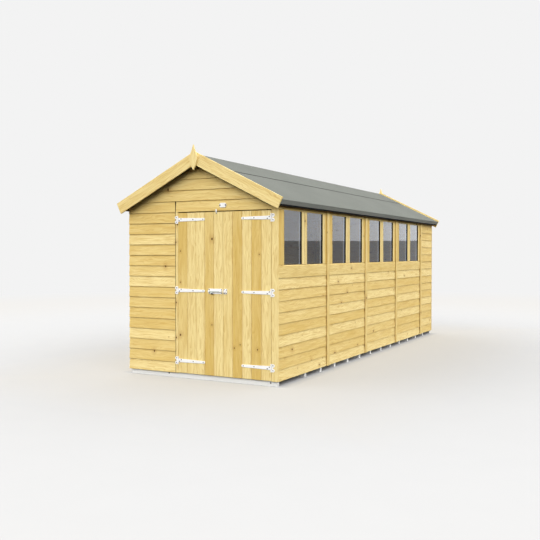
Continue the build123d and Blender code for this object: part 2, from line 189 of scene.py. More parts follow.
def wood(piece, along, across, tone, end_tone=None):
    """Writes a board's own wood places and its tone, 0 pale and 1 tan, which may change along it."""
    along, across = Vector(along), Vector(across)
    into = along.cross(across)
    log = [yard.uniform(0, LOG_REACH) for axis in range(3)]
    places = []
    for vertex in piece.data.vertices:
        places += [vertex.co.dot(axis) + start for axis, start in zip((along, across, into), log)]
    piece.data.attributes.new("wood_place", "FLOAT_VECTOR", "POINT").data.foreach_set("vector", places)
    change = 0 if end_tone is None else end_tone - tone
    start, end = min(places[::3]), max(places[::3])
    tones = [tone + change * (place - start) / (end - start) for place in places[::3]]
    piece.data.attributes.new("wood_tone", "FLOAT", "POINT").data.foreach_set("value", tones)
    return piece


def from_cad(name, node, arris):
    """A copy of a CAD node, its triangles merged to flat faces and its arrises eased."""
    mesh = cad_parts[node].data.copy()
    mesh.materials.clear()
    piece = bpy.data.objects.new(name, mesh)
    bpy.context.collection.objects.link(piece)
    only(piece)
    bpy.ops.mesh.customdata_custom_splitnormals_clear()
    bpy.ops.object.mode_set(mode="EDIT")
    bpy.ops.mesh.select_all(action="SELECT")
    bpy.ops.mesh.remove_doubles(threshold=0.00001)
    bpy.ops.mesh.dissolve_limited(angle_limit=math.radians(0.5))
    bpy.ops.mesh.faces_shade_flat()
    done()
    return ease(piece, arris) if arris else piece


def own_wood(piece, tone, along=None):
    """Gives each loose stick of a piece wood of its own."""
    name = piece.name
    only(piece)
    bpy.ops.mesh.separate(type="LOOSE")
    found = list(bpy.context.selected_objects)
    for stick in found:
        size = stick.dimensions
        order = sorted(range(3), key=lambda axis: -size[axis])
        unit = [Vector((axis == 0, axis == 1, axis == 2)) for axis in order]
        lengthwise = Vector(along) if along else unit[0]
        crosswise = lengthwise.cross(unit[2]) if along else unit[1]
        wood(stick, lengthwise, crosswise, tone + yard.uniform(-STICK_SPREAD, STICK_SPREAD))
    return joined(name, found)


def sticks(name, node, arris, tone, along=None):
    """Copies a CAD node and gives each stick in it wood of its own."""
    return own_wood(from_cad(name, node, arris), tone, along)


print("wood yard seeded")

# %% [markdown]
# ## Treated pine
# Pressure-treated pine is planed softwood, pale yellow with a warm tan from board to board. The eye reads
# three things: the tone of a whole board, long streaks with darker late wood that bend in flames, and small
# brown knots that push the grain aside. All three are worked out from the board's own wood places.

# %% Colours and nodes
def srgb(code):
    """A hex colour as linear red, green, blue and alpha."""
    parts = [int(code[i:i + 2], 16) / 255 for i in (1, 3, 5)]
    return [p / 12.92 if p <= 0.04045 else ((p + 0.055) / 1.055) ** 2.4 for p in parts] + [1.0]


def new_material(name):
    """A node material and its empty tree."""
    material = bpy.data.materials.new(name)
    material.use_nodes = True
    material.node_tree.nodes.clear()
    return material, material.node_tree


def add(tree, kind, inputs=None, **settings):
    """Adds a node: settings are its properties, inputs are values or the sockets that feed it."""
    made = tree.nodes.new(kind)
    for key, value in settings.items():
        setattr(made, key, value)
    for key, value in (inputs or {}).items():
        if isinstance(value, bpy.types.NodeSocket):
            tree.links.new(value, made.inputs[key])
        else:
            made.inputs[key].default_value = value
    return made


KNOT_RUN = 0.62        # metres of board to a knot, before most are left out
KNOT_ROW = 0.10        # one row of knots to a board
FLAME_SPACING = 0.017  # late wood bands, drawn coarser than the real 4 mm so that they show
FLAME_RUN = 2.6        # wander of the flames, in waves to a metre of board
FLAME_WANDER = 0.16    # metres that the wander shifts a band across the board
KNOT_RADIUS = 0.013    # metres, for the largest knot that falls by chance
KNOT_STRETCH = 0.7     # distances along the board count for less, so knots are longer than wide
KNOT_TALL = 0.75       # the same for the knots placed on the front
KNOT_PUSH = 0.030      # metres that a knot pushes the bands aside
KNOT_HALO = "#B98A45"
KNOT_BROWN = "#5E3B1C"
STREAK = (5.0, 55.0, 55.0)  # fine fibre, in waves to a metre along and across the board
BROAD = (1.7, 22.0, 22.0)   # broad change of tone, the same way


def treated_pine(name, pale, tan, late, knot_share, roughness, placed_knots=()):
    """Planed treated pine with tone, flames and knots from a board's own wood places."""
    material, tree = new_material(name)
    place = add(tree, "ShaderNodeAttribute", attribute_name="wood_place").outputs["Vector"]
    tone = add(tree, "ShaderNodeAttribute", attribute_name="wood_tone").outputs["Fac"]
    cell = add(tree, "ShaderNodeVectorMath", {0: place, 1: (1 / KNOT_RUN, 1 / KNOT_ROW, 0)},
               operation="MULTIPLY").outputs[0]
    knots = add(tree, "ShaderNodeTexVoronoi", {"Vector": cell, "Scale": 1.0}, voronoi_dimensions="2D")
    offset = add(tree, "ShaderNodeVectorMath", {0: cell, 1: knots.outputs["Position"]},
                 operation="SUBTRACT").outputs[0]
    metres = add(tree, "ShaderNodeVectorMath", {0: offset, 1: (KNOT_RUN * KNOT_STRETCH, KNOT_ROW, 0)},
                 operation="MULTIPLY").outputs[0]
    away = add(tree, "ShaderNodeVectorMath", {0: metres}, operation="LENGTH").outputs["Value"]
    chance = add(tree, "ShaderNodeSeparateColor", {0: knots.outputs["Color"]}).outputs[0]
    radius = add(tree, "ShaderNodeMapRange", {0: chance, 1: 1 - knot_share, 2: 1.0, 3: 0.0001,
                                              4: KNOT_RADIUS})
    ratio = add(tree, "ShaderNodeMath", {0: away, 1: radius.outputs[0]}, operation="DIVIDE").outputs[0]
    for x_knot, z_knot, knot_radius in placed_knots:
        here = add(tree, "ShaderNodeTexCoord").outputs["Object"]
        flat = add(tree, "ShaderNodeVectorMath", {0: here, 1: (1, 0, KNOT_TALL)},
                   operation="MULTIPLY").outputs[0]
        gap = add(tree, "ShaderNodeVectorMath", {0: flat, 1: (x_knot, 0, KNOT_TALL * z_knot)},
                  operation="DISTANCE").outputs["Value"]
        near = add(tree, "ShaderNodeMath", {0: gap, 1: knot_radius}, operation="DIVIDE").outputs[0]
        ratio = add(tree, "ShaderNodeMath", {0: ratio, 1: near}, operation="MINIMUM").outputs[0]
    knot = add(tree, "ShaderNodeMapRange", {0: ratio, 1: 1.0, 2: 0.45, 3: 0.0, 4: 1.0},
               interpolation_type="SMOOTHSTEP").outputs[0]
    swirl = add(tree, "ShaderNodeMapRange", {0: ratio, 1: 4.5, 2: 0.8, 3: 0.0, 4: 1.0},
                interpolation_type="SMOOTHSTEP").outputs[0]
    wander_place = add(tree, "ShaderNodeVectorMath", {0: place, 1: (FLAME_RUN, 9.0, 9.0)},
                       operation="MULTIPLY").outputs[0]
    wander = add(tree, "ShaderNodeTexNoise", {"Vector": wander_place, "Scale": 1.0, "Detail": 2.0}).outputs[0]
    across = add(tree, "ShaderNodeSeparateXYZ", {0: place}).outputs[1]
    bend = add(tree, "ShaderNodeMath", {0: wander, 1: FLAME_WANDER, 2: across},
               operation="MULTIPLY_ADD").outputs[0]
    bent = add(tree, "ShaderNodeMath", {0: swirl, 1: KNOT_PUSH, 2: bend},
               operation="MULTIPLY_ADD").outputs[0]
    phase = add(tree, "ShaderNodeMath", {0: bent, 1: 1 / FLAME_SPACING}, operation="MULTIPLY").outputs[0]
    saw_tooth = add(tree, "ShaderNodeMath", {0: phase}, operation="FRACT").outputs[0]
    band = add(tree, "ShaderNodeMapRange", {0: saw_tooth, 1: 0.35, 2: 0.92, 3: 0.0, 4: 1.0},
               interpolation_type="SMOOTHSTEP").outputs[0]
    streak_place = add(tree, "ShaderNodeVectorMath", {0: place, 1: STREAK}, operation="MULTIPLY").outputs[0]
    streak = add(tree, "ShaderNodeTexNoise", {"Vector": streak_place, "Scale": 1.0, "Detail": 5.0,
                                              "Roughness": 0.62, "Distortion": 0.5}).outputs[0]
    broad_place = add(tree, "ShaderNodeVectorMath", {0: place, 1: BROAD}, operation="MULTIPLY").outputs[0]
    broad = add(tree, "ShaderNodeTexNoise", {"Vector": broad_place, "Scale": 1.0, "Detail": 3.0,
                                             "Distortion": 1.1}).outputs[0]
    broad_tone = add(tree, "ShaderNodeMapRange", {0: broad, 1: 0.32, 2: 0.68, 3: -0.2, 4: 0.2}).outputs[0]
    level = add(tree, "ShaderNodeMath", {0: tone, 1: broad_tone}, operation="ADD", use_clamp=True).outputs[0]
    ground = add(tree, "ShaderNodeMix", {0: level, 6: srgb(pale), 7: srgb(tan)}, data_type="RGBA").outputs[2]
    fibre = add(tree, "ShaderNodeMapRange", {0: streak, 1: 0.42, 2: 0.75, 3: 0.0, 4: 0.42}).outputs[0]
    flame = add(tree, "ShaderNodeMath", {0: band, 1: fibre}, operation="MULTIPLY").outputs[0]
    flame_share = add(tree, "ShaderNodeMath", {0: band, 1: 0.16, 2: flame},
                      operation="MULTIPLY_ADD").outputs[0]
    grained = add(tree, "ShaderNodeMix", {0: flame_share, 6: ground, 7: srgb(late)},
                  data_type="RGBA").outputs[2]
    fibred = add(tree, "ShaderNodeMix", {0: fibre, 6: grained, 7: srgb(late)}, data_type="RGBA").outputs[2]
    ring = add(tree, "ShaderNodeMath", {0: swirl, 1: 0.38}, operation="MULTIPLY").outputs[0]
    ringed = add(tree, "ShaderNodeMix", {0: ring, 6: fibred, 7: srgb(KNOT_HALO)},
                 data_type="RGBA").outputs[2]
    colour = add(tree, "ShaderNodeMix", {0: knot, 6: ringed, 7: srgb(KNOT_BROWN)},
                 data_type="RGBA").outputs[2]
    gloss = add(tree, "ShaderNodeMapRange", {0: streak, 1: 0.3, 2: 0.7, 3: roughness + 0.07,
                                             4: roughness - 0.07})
    relief = add(tree, "ShaderNodeMath", {0: streak, 1: 0.6, 2: flame}, operation="MULTIPLY_ADD").outputs[0]
    bump = add(tree, "ShaderNodeBump", {"Strength": 0.35, "Distance": 0.0012, "Height": relief})
    shader = add(tree, "ShaderNodeBsdfPrincipled", {"Base Color": colour, "Roughness": gloss.outputs[0],
                                                    "Normal": bump.outputs[0], "Specular IOR Level": 0.08})
    add(tree, "ShaderNodeOutputMaterial", {"Surface": shader.outputs[0]})
    return material


PINE = ("#F6E1A0", "#DDBD6D", "#C79B48")  # pale boards, tan boards and late wood
# the clear knots on the front: place across, height and radius in metres
FRONT_KNOTS = ((0.155, 1.428, 0.013), (-0.229, 1.307, 0.007), (-0.230, 0.987, 0.007), (-0.232, 0.445, 0.012),
               (0.153, 0.566, 0.007), (0.415, 0.348, 0.007), (0.481, 0.385, 0.006), (0.677, 0.348, 0.008),
               (0.696, 1.274, 0.006), (-0.423, 1.149, 0.011), (-0.572, 0.257, 0.011), (-0.384, 1.942, 0.014),
               (-0.287, 1.398, 0.010), (-0.283, 0.777, 0.009), (-0.284, 0.416, 0.009))
# planed cladding, the same with set knots for the front, sawn framing and floor boards
cladding_pine = treated_pine("treated_pine_cladding", *PINE, 0.42, 0.62)
front_pine = treated_pine("treated_pine_front", *PINE, 0.012, 0.62, FRONT_KNOTS)
framing_pine = treated_pine("sawn_pine_framing", "#E6CE92", "#D0AE70", "#B48C50", 0.35, 0.72)
floor_pine = treated_pine("floor_boards_pine", "#E3CB90", "#CEAC6E", "#B28A4E", 0.35, 0.66)
print("pine materials:", cladding_pine.name, front_pine.name, framing_pine.name, floor_pine.name)

# %% [markdown]
# ## Overlap boards
# Each wall panel is clad with feather-edge boards nailed from the bottom up, so that every board's thick
# lower edge laps over the thin top of the one below and throws a thin shadow. One board is modelled as a
# block whose upper front edge is pushed back and whose lower back is rebated to sit on the board below. It is
# then copied up the wall, because the step between boards is what the eye sees along the whole shed.

# %% One feather-edge board
BOARD_PITCH = 0.1105
BOARD_LAP = 0.012
BOARD_BUTT = 0.0090
BOARD_LEAN = 0.0105
BOARD_DEPTH = 0.0185
REBATE = 0.013
FRONT_FACE = (Vector((-1, 0, 0)), Vector((0, -1, 0)))
REAR_FACE = (Vector((1, 0, 0)), Vector((0, 1, 0)))
RIGHT_FACE = (Vector((0, -1, 0)), Vector((1, 0, 0)))
LEFT_FACE = (Vector((0, 1, 0)), Vector((-1, 0, 0)))
UP = Vector((0, 0, 1))
PALE_ROWS = (0, 3, 8, 12)
PALE_TONES = (0.05, 0.20)
TAN_TONES = (0.42, 0.72)


def feather_board(length):
    """A board lying along X with its face towards +Y, thick at the bottom and thin at the top."""
    top = BOARD_PITCH + BOARD_LAP
    board = block((0, -BOARD_DEPTH, 0), (length, 0, top))
    pick(board, "EDGE", lambda middle, way: middle.y > -NEAR and middle.z > top - NEAR)
    bpy.ops.transform.translate(value=(0, -BOARD_LEAN, 0))
    done()
    waste = block((-length, -2 * BOARD_DEPTH, -REBATE), (2 * length, -BOARD_BUTT, REBATE))
    apply(board, "BOOLEAN", operation="DIFFERENCE", object=waste, solver="EXACT")
    scrap(waste)
    return ease(board, ARRIS["board"])


def placing(face, origin):
    """The matrix from a board's bench frame to a wall: along, out and up."""
    along, out = face
    turn = Matrix((along, out, UP)).transposed().to_4x4()
    return Matrix.Translation(origin) @ turn


def boarding(face, origin, length, rows, cuts=(), first_row=0, pale_rows=PALE_ROWS):
    """Boards copied up a panel from its lower corner, sawn where a cut crosses them."""
    pattern = feather_board(length)
    laid = []
    for row in range(rows):
        board = copied(pattern, placing(face, Vector(origin) + UP * BOARD_PITCH * row))
        tones = PALE_TONES if first_row + row in pale_rows else TAN_TONES
        wood(board, face[0], UP, yard.uniform(*tones))
        for point, normal in cuts:
            beyond = [(v.co - Vector(point)).dot(normal) for v in board.data.vertices]
            if max(beyond) > 0:
                saw(board, point, normal)
        laid.append(board)
    scrap(pattern)
    return [board for board in laid if board.data.vertices]


print("feather-edge board is", round(1000 * (BOARD_PITCH + BOARD_LAP), 1), "mm high")

# %% [markdown]
# ## Side and rear walls
# The right side has four low panels under the windows and one full panel at the back; the left side and
# the rear are boarded to the top. The panel ends come from the window frames in the CAD, so the boards stop
# at the same joints that the cover strips hide. A saw cut at the wall top takes the last lap away.

# %% Side and rear walls
right_low, right_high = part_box("right_wall_panels")
left_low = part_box("left_wall_panels")[0]
rear_low, rear_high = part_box("rear_wall_panels")
window_low, window_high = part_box("window_frame_1")
JOINT_GAP = 0.002
PANEL_PITCH = 1.180
WINDOW_COUNT = 4
side_top = right_high.z
end_top = rear_high.z
full_rows = round((end_top - right_low.z) / BOARD_PITCH)
low_rows = round((window_low.z - right_low.z) / BOARD_PITCH)
first_joint = window_high.y + JOINT_GAP / 2
joints = [first_joint + PANEL_PITCH * i for i in range(WINDOW_COUNT)]
starts = [right_low.y] + [y + JOINT_GAP / 2 for y in joints]
ends = [y - JOINT_GAP / 2 for y in joints] + [right_high.y]
side_cut = ((0, 0, side_top), UP)
sill_cut = ((0, 0, window_low.z), UP)

RIGHT_PALE_ROWS = ((0, 3, 8), (0, 3, 5, 8), (0, 3, 6, 8), (0, 3, 5, 8), (1, 4, 8, 12))
right_boards = []
left_boards = []
for index, (start, end) in enumerate(zip(starts, ends)):
    windowed = index < WINDOW_COUNT
    rows = low_rows if windowed else full_rows
    right_boards += boarding(RIGHT_FACE, (right_high.x, end, right_low.z), end - start, rows,
                             [sill_cut if windowed else side_cut], pale_rows=RIGHT_PALE_ROWS[index])
    left_boards += boarding(LEFT_FACE, (left_low.x, start, left_low.z), end - start, full_rows, [side_cut])
fit(joined("right_wall_boards", right_boards), cladding_pine, "shed", "pine_cladding", "right_wall_panels")
fit(joined("left_wall_boards", left_boards), cladding_pine, "shed", "pine_cladding", "left_wall_panels")

# %% [markdown]
# ## Gable ends
# The end walls are boarded the same way up to the roof. The boards of a gable start full width and are
# sawn along the two roof slopes, as a joiner runs a saw along the rafter line, so that each row keeps its
# own slanted end grain.

# %% Gable ends
ROOF_SLOPE = 0.4965
REAR_JOINT = 0.300
slope_angle = math.atan(ROOF_SLOPE)
half_width = right_high.x
roof_cuts = [((side * half_width, 0, side_top),
              Vector((side * math.sin(slope_angle), 0, math.cos(slope_angle)))) for side in (-1, 1)]
end_cut = ((0, 0, end_top), UP)
rear_boards = boarding(REAR_FACE, (-half_width, rear_high.y, rear_low.z),
                       half_width + REAR_JOINT - JOINT_GAP / 2, full_rows, [end_cut] + roof_cuts)
rear_boards += boarding(REAR_FACE, (REAR_JOINT + JOINT_GAP / 2, rear_high.y, rear_low.z),
                        half_width - REAR_JOINT - JOINT_GAP / 2, full_rows, [end_cut] + roof_cuts)
fit(joined("rear_wall_boards", rear_boards), cladding_pine, "shed", "pine_cladding", "rear_wall_panels")

gable_low, gable_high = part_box("rear_gable")
gable_rows = math.ceil((gable_high.z - gable_low.z) / BOARD_PITCH)
rear_gable_boards = boarding(REAR_FACE, (-half_width, rear_high.y, end_top), 2 * half_width, gable_rows,
                             roof_cuts, full_rows)
fit(joined("rear_gable_boards", rear_gable_boards), cladding_pine, "shed", "pine_cladding", "rear_gable")

panel_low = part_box("front_left_panel")[0]
front = panel_low.y
POST_GAP = 0.007
POST_TRIM = 0.009
header_low, header_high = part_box("door_header")
post_left = header_low.x + POST_TRIM
panel_right = post_left - POST_GAP
panel_boards = boarding(FRONT_FACE, (panel_right, front, panel_low.z), panel_right - panel_low.x, full_rows,
                        [end_cut] + roof_cuts)
fit(joined("front_panel_boards", panel_boards), front_pine, "shed", "pine_cladding", "front_left_panel")

header_boards = boarding(FRONT_FACE, (header_high.x, front, header_low.z), header_high.x - post_left, 1,
                         [end_cut] + roof_cuts, full_rows - 1)
fit(joined("header_board", header_boards), front_pine, "shed", "pine_cladding", "door_header")
front_gable_boards = boarding(FRONT_FACE, (half_width, front, end_top), 2 * half_width, gable_rows,
                              roof_cuts, full_rows)
fit(joined("front_gable_boards", front_gable_boards), front_pine, "shed", "pine_cladding", "front_gable")

# %% [markdown]
# ## Door leaves
# Each leaf is five tongued boards on three ledges with braces. The boards meet in small V joints, and their
# tones differ strongly, which is what makes the doors look boarded from afar. One board is modelled as its
# tongue, from which the face is inset and extruded, so that a fine dark groove stays between two boards. Its
# front edges are bevelled for the V, and the outer boards of a leaf are sawn straight where they close.

# %% Door leaves
DOOR_TONES = {"left_door": ((0.25, 0.98), (0.12, 0.04), (0.12, 0.02), (0.98, 0.50), (0.08, 0.00)),
              "right_door": ((0.25, 0.18), (0.98, 0.75), (0.05, 0.05), (0.98, 0.80), (0.20, 0.06))}
V_JOINT = 0.003
TONGUE = 0.0012
GROOVE = 0.009
EDGE_REACH = {"left_door": (0.003, 0.0015), "right_door": (0.0015, 0.003)}


def sawn_edge(board, x_edge, way):
    """Widens an outer board past the leaf and saws it straight, so that its outer edge has no V."""
    x_middle = sum(vertex.co.x for vertex in board.data.vertices) / len(board.data.vertices)
    pick(board, "VERT", lambda place, normal: (place.x - x_middle) * way > 0)
    bpy.ops.transform.translate(value=(way * 4 * V_JOINT, 0, 0))
    done()
    saw(board, (x_edge, 0, 0), (way, 0, 0))


def door_leaf(node):
    """Five V-jointed boards that fill a door's box."""
    low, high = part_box(node)
    tones = DOOR_TONES[node]
    width = (high.x - low.x) / len(tones)
    pattern = block((low.x, low.y + GROOVE, low.z), (low.x + width, high.y, high.z))
    pick(pattern, "FACE", lambda middle, normal: normal.y < -FACING)
    bpy.ops.mesh.inset(thickness=TONGUE)
    bpy.ops.mesh.extrude_region_move(TRANSFORM_OT_translate={"value": (0, -GROOVE, 0)})
    done()
    pick(pattern, "EDGE", lambda middle, way: abs(way.z) > FACING and middle.y < low.y + NEAR)
    bpy.ops.mesh.bevel(offset=V_JOINT, segments=1)
    done()
    ease(pattern, ARRIS["door_board"])
    boards = [copied(pattern, Matrix.Translation((index * width, 0, 0))) for index in range(len(tones))]
    scrap(pattern)
    sawn_edge(boards[0], low.x - EDGE_REACH[node][0], -1)
    sawn_edge(boards[-1], high.x + EDGE_REACH[node][1], 1)
    for board, (foot_tone, head_tone) in zip(boards, tones):
        wood(board, (0, 0, 1), (1, 0, 0), foot_tone, head_tone)
    return joined(node + "_boards", boards)


for side in ("left", "right"):
    fit(door_leaf(side + "_door"), front_pine, side + "_leaf", "pine_cladding", side + "_door")
    ledges = sticks(side + "_ledges_and_braces", side + "_door_ledges", ARRIS["sawn_timber"], FRAME_TONE)
    fit(ledges, framing_pine, side + "_leaf", "framing_timber", side + "_door_ledges")

# %% [markdown]
# ## Posts, cover strips, bargeboards and finials
# These are planed sticks whose shape the CAD already has. Copying the node, merging its loose triangles and
# bevelling the edges gives the small rounded arris that catches the light on planed timber. A cover strip
# bridges lapped boards and so has a dark gap beside it: its back is pushed out, inset and extruded again to a
# narrower foot. The bargeboards run along the slope, so their wood is told that direction.

# %% Planed trim
STRIP_LIP = 0.005
STRIP_FOOT = 0.005
POST_TONES = {"left": 0.02, "right": 0.15}
STRIP_TONE = 0.40
BARGE_TONE = 0.20
SPEAR_TONE = -0.1


def shadow_gap(strips, out, reach):
    """Gives the strips on one wall a foot that is narrower than their face."""
    pick(strips, "FACE", lambda middle, normal: (normal.dot(out) < -FACING
                                                 and abs(middle.dot(out) - reach) < NEAR))
    bpy.ops.transform.translate(value=out * STRIP_LIP)
    bpy.ops.mesh.inset(thickness=STRIP_FOOT, use_individual=True)
    bpy.ops.mesh.extrude_region_move(TRANSFORM_OT_translate={"value": -out * STRIP_LIP})
    done()


for side, tone in POST_TONES.items():
    post = sticks(side + "_post", side + "_door_post", ARRIS["post"], tone)
    if side == "left":
        saw(post, (post_left, 0, 0), (-1, 0, 0))
    fit(post, front_pine, "shed", "pine_cladding", side + "_door_post")
strips = from_cad("panel_cover_strips", "cover_strips", 0)
for out, reach in ((Vector((1, 0, 0)), half_width), (Vector((-1, 0, 0)), half_width),
                   (Vector((0, 1, 0)), rear_high.y)):
    shadow_gap(strips, out, reach)
strips = own_wood(ease(strips, ARRIS["board"]), STRIP_TONE)
fit(strips, cladding_pine, "shed", "pine_cladding", "cover_strips")
for end in ("front", "rear"):
    for side, way in (("left", -1), ("right", 1)):
        slope_way = (way * math.cos(slope_angle), 0, -math.sin(slope_angle))
        barge = sticks(f"{end}_{side}_barge", f"{end}_{side}_bargeboard", ARRIS["bargeboard"], BARGE_TONE,
                       slope_way)
        fit(barge, cladding_pine, "shed", "pine_cladding", f"{end}_{side}_bargeboard")
    spear = sticks(end + "_spear", end + "_finial", ARRIS["finial"], SPEAR_TONE)
    fit(spear, cladding_pine, "shed", "pine_cladding", end + "_finial")

# %% [markdown]
# ## Window joinery
# A window panel is two lights side by side. Each light has its own stiles, so the middle post is two stiles
# that meet in a fine joint, and a black strip in it is painted shade. The bottom rail has a chamfer on its
# upper edge that sheds water and shows as a pale line. Black strips of painted shade line the sides and the
# foot of every opening, and behind the sheet a pale bead holds it: a block whose two faces are inset and
# bridged into a ring. The last upright of each panel is a tan stile, partly a darker tone and partly painted
# shade beside the cover strip. Timbers and shade strips are hidden from the rays that the panes mirror or
# pass on, because they would darken the glass beside each reveal.

# %% Window joinery
SIDE_STILE = 0.131
# the last upright of each panel is a tan stile, partly a darker tone and partly painted shade beside the
# cover strip
TAN_END_STILE = 0.078
MULLION = 0.121
MEETING = 0.003
LIGHT = (PANEL_PITCH - 2 * SIDE_STILE - MULLION) / 2
WINDOW_RAIL = 0.1265
WINDOW_HEAD = 0.1075
SILL_CHAMFER = 0.011
# the end stud named last is that tan stile, partly painted shade
STILE_TONES = (0.9, 0.1, 0.2, 0.1, 1.0)  # front stile, the two that meet, back stile, end stud
RAIL_TONES = (0.3, 0.7)
HEAD_TONE = 0.6
# size of the black strips of painted shade in each reveal, and how far they stand back from the face
SHADE_STRIP = 0.005
SHADE_STRIP_SETBACK = 0.002
MEETING_SETBACK = 0.001
PANE_LAP = 0.012
BEAD_DEPTH = 0.014
glass_low = window_low.z + WINDOW_RAIL
glass_high = window_high.z - WINDOW_HEAD
face_in, face_out = window_low.x, window_high.x
pane_low, pane_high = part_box("window_panes")


def stile(y_start, y_end, tone):
    """An upright between the rails."""
    stick = ease(block((face_in, y_start, glass_low), (face_out, y_end, glass_high)), ARRIS["stile"])
    return wood(stick, (0, 0, 1), (0, 1, 0), tone)


def rail(y_start, y_end, z_start, z_end, tone, chamfer):
    """A rail across a panel, with its upper outer edge chamfered where it sheds water."""
    stick = block((face_in, y_start, z_start), (face_out, y_end, z_end))
    if chamfer:
        pick(stick, "EDGE", lambda middle, way: middle.x > face_out - NEAR and middle.z > z_end - NEAR)
        bpy.ops.mesh.bevel(offset=chamfer, segments=1)
        done()
    return wood(ease(stick, ARRIS["rail"]), (0, 1, 0), (0, 0, 1), tone)


def reveal_shade(y_start, y_end):
    """Black strips of painted shade in front of one sheet, down both sides and along the foot."""
    inner, outer = pane_high.x, face_out - SHADE_STRIP_SETBACK
    foot = block((inner, y_start, glass_low), (outer - SILL_CHAMFER, y_end, glass_low + SHADE_STRIP))
    sides = [block((inner, y, glass_low + SHADE_STRIP), (outer, y + SHADE_STRIP, glass_high))
             for y in (y_start, y_end - SHADE_STRIP)]
    return [ease(bar, ARRIS["reveal_shade"]) for bar in [foot] + sides]


def bead(y_start, y_end):
    """A bead ring behind one sheet, flush with the opening."""
    lap = Vector((0, PANE_LAP, PANE_LAP))
    back = pane_low.x
    ring = block(Vector((back - BEAD_DEPTH, y_start, glass_low)) - lap,
                 Vector((back, y_end, glass_high)) + lap)
    pick(ring, "FACE", lambda middle, normal: abs(normal.x) > FACING)
    bpy.ops.mesh.inset(thickness=PANE_LAP)
    bpy.ops.mesh.bridge_edge_loops()
    done()
    return ring


reveal_shades = []
beads = []
for number, joint in enumerate(joints, start=1):
    node = f"window_frame_{number}"
    low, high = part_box(node)
    first = joint - PANEL_PITCH + SIDE_STILE
    second = joint - SIDE_STILE - LIGHT
    middle = joint - PANEL_PITCH / 2
    uprights = ((low.y, first), (first + LIGHT, middle - MEETING / 2), (middle + MEETING / 2, second),
                (joint - SIDE_STILE, high.y - TAN_END_STILE), (high.y - TAN_END_STILE, high.y))
    timbers = [stile(y_start, y_end, tone) for (y_start, y_end), tone in zip(uprights, STILE_TONES)]
    timbers += [rail(low.y, high.y, low.z, glass_low, yard.uniform(*RAIL_TONES), SILL_CHAMFER),
                rail(low.y, high.y, glass_high, high.z, HEAD_TONE, 0)]
    joinery = fit(joined(f"window_joinery_{number}", timbers), cladding_pine, "shed", "pine_cladding", node)
    joinery.visible_glossy = False
    joinery.visible_transmission = False
    # a black strip of painted shade fills the joint where the two middle stiles meet
    joint_shade = block((face_in, middle - MEETING / 2, glass_low),
                    (face_out - MEETING_SETBACK, middle + MEETING / 2, glass_high))
    reveal_shades.append(ease(joint_shade, ARRIS["thin_strip"]))
    for y_start in (first, second):
        reveal_shades += reveal_shade(y_start, y_start + LIGHT)
        beads.append(bead(y_start, y_start + LIGHT))
window_reveal_shades = joined("window_reveal_shades", reveal_shades)
window_reveal_shades.visible_glossy = False
window_reveal_shades.visible_transmission = False
window_beads = joined("window_beads", beads)
print("window lights are", round(1000 * LIGHT), "by", round(1000 * (glass_high - glass_low)), "mm")

# %% [markdown]
# ## Glass, beads and painted reveal shade
# The lights are thin clear sheets. At this slanting view clear glass mirrors about a third of the pale
# surround and lets the dark room show through the rest, and the share comes from its index of refraction.
# Soft light would stop at solid glass, so shadow and diffuse rays pass through it. The black strips in the
# reveals are painted shade, and the beads are off-white plastic. Both are plain coats that wander a little
# between two shades, as the black painted shade under the felt and the painted steel do further on, so one
# function mixes all such coats.

# %% Glass, beads and painted reveal shade
def clear_glazing():
    """Clear sheet with a faint film of dust in its roughness."""
    material, tree = new_material("clear_glazing_sheet")
    place = add(tree, "ShaderNodeTexCoord").outputs["Object"]
    dust = add(tree, "ShaderNodeTexNoise", {"Vector": place, "Scale": 9.0, "Detail": 4.0}).outputs[0]
    film = add(tree, "ShaderNodeMapRange", {0: dust, 1: 0.3, 2: 0.8, 3: 0.0, 4: 0.02}).outputs[0]
    glass = add(tree, "ShaderNodeBsdfPrincipled", {"Base Color": srgb("#C9D2E0"), "Roughness": film,
                                                   "IOR": 1.5, "Transmission Weight": 1.0})
    open_way = add(tree, "ShaderNodeBsdfTransparent", {0: srgb("#EEF0F4")})
    path = add(tree, "ShaderNodeLightPath")
    soft_ray = add(tree, "ShaderNodeMath", {0: path.outputs["Is Shadow Ray"],
                                            1: path.outputs["Is Diffuse Ray"]},
                   operation="MAXIMUM").outputs[0]
    pane = add(tree, "ShaderNodeMixShader", {0: soft_ray, 1: glass.outputs[0], 2: open_way.outputs[0]})
    add(tree, "ShaderNodeOutputMaterial", {"Surface": pane.outputs[0]})
    return material


def mottled(name, scale, first, second, coat, peel=0):
    """A coat that wanders between two shades; peel is the strength of the fine relief that paint has."""
    material, tree = new_material(name)
    place = add(tree, "ShaderNodeTexCoord").outputs["Object"]
    shade = add(tree, "ShaderNodeTexNoise", {"Vector": place, "Scale": scale, "Detail": 3.0}).outputs[0]
    colour = add(tree, "ShaderNodeMix", {0: shade, 6: srgb(first), 7: srgb(second)},
                 data_type="RGBA").outputs[2]
    inputs = {"Base Color": colour, **coat}
    if peel:
        bump = add(tree, "ShaderNodeBump", {"Strength": peel, "Distance": 0.0005, "Height": shade})
        inputs["Normal"] = bump.outputs[0]
    shader = add(tree, "ShaderNodeBsdfPrincipled", inputs)
    add(tree, "ShaderNodeOutputMaterial", {"Surface": shader.outputs[0]})
    return material


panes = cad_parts["window_panes"]
panes.data.materials.clear()
panes.data.materials.append(clear_glazing())
# matt black with a slight bloom, for the strips of painted shade in the reveals and the tip of the bolt's lug
matt_black = mottled("matt_black_coat", 60.0, "#1B1712", "#332B20",
                 {"Roughness": 0.8, "Specular IOR Level": 0.2})
fit(window_reveal_shades, matt_black, "shed", "glazing")
# extruded plastic, off-white with a slight sheen
bead_plastic = mottled("off_white_bead", 40.0, "#F4ECE0", "#EAE2D6", {"Roughness": 0.5})
fit(window_beads, bead_plastic, "shed", "glazing")

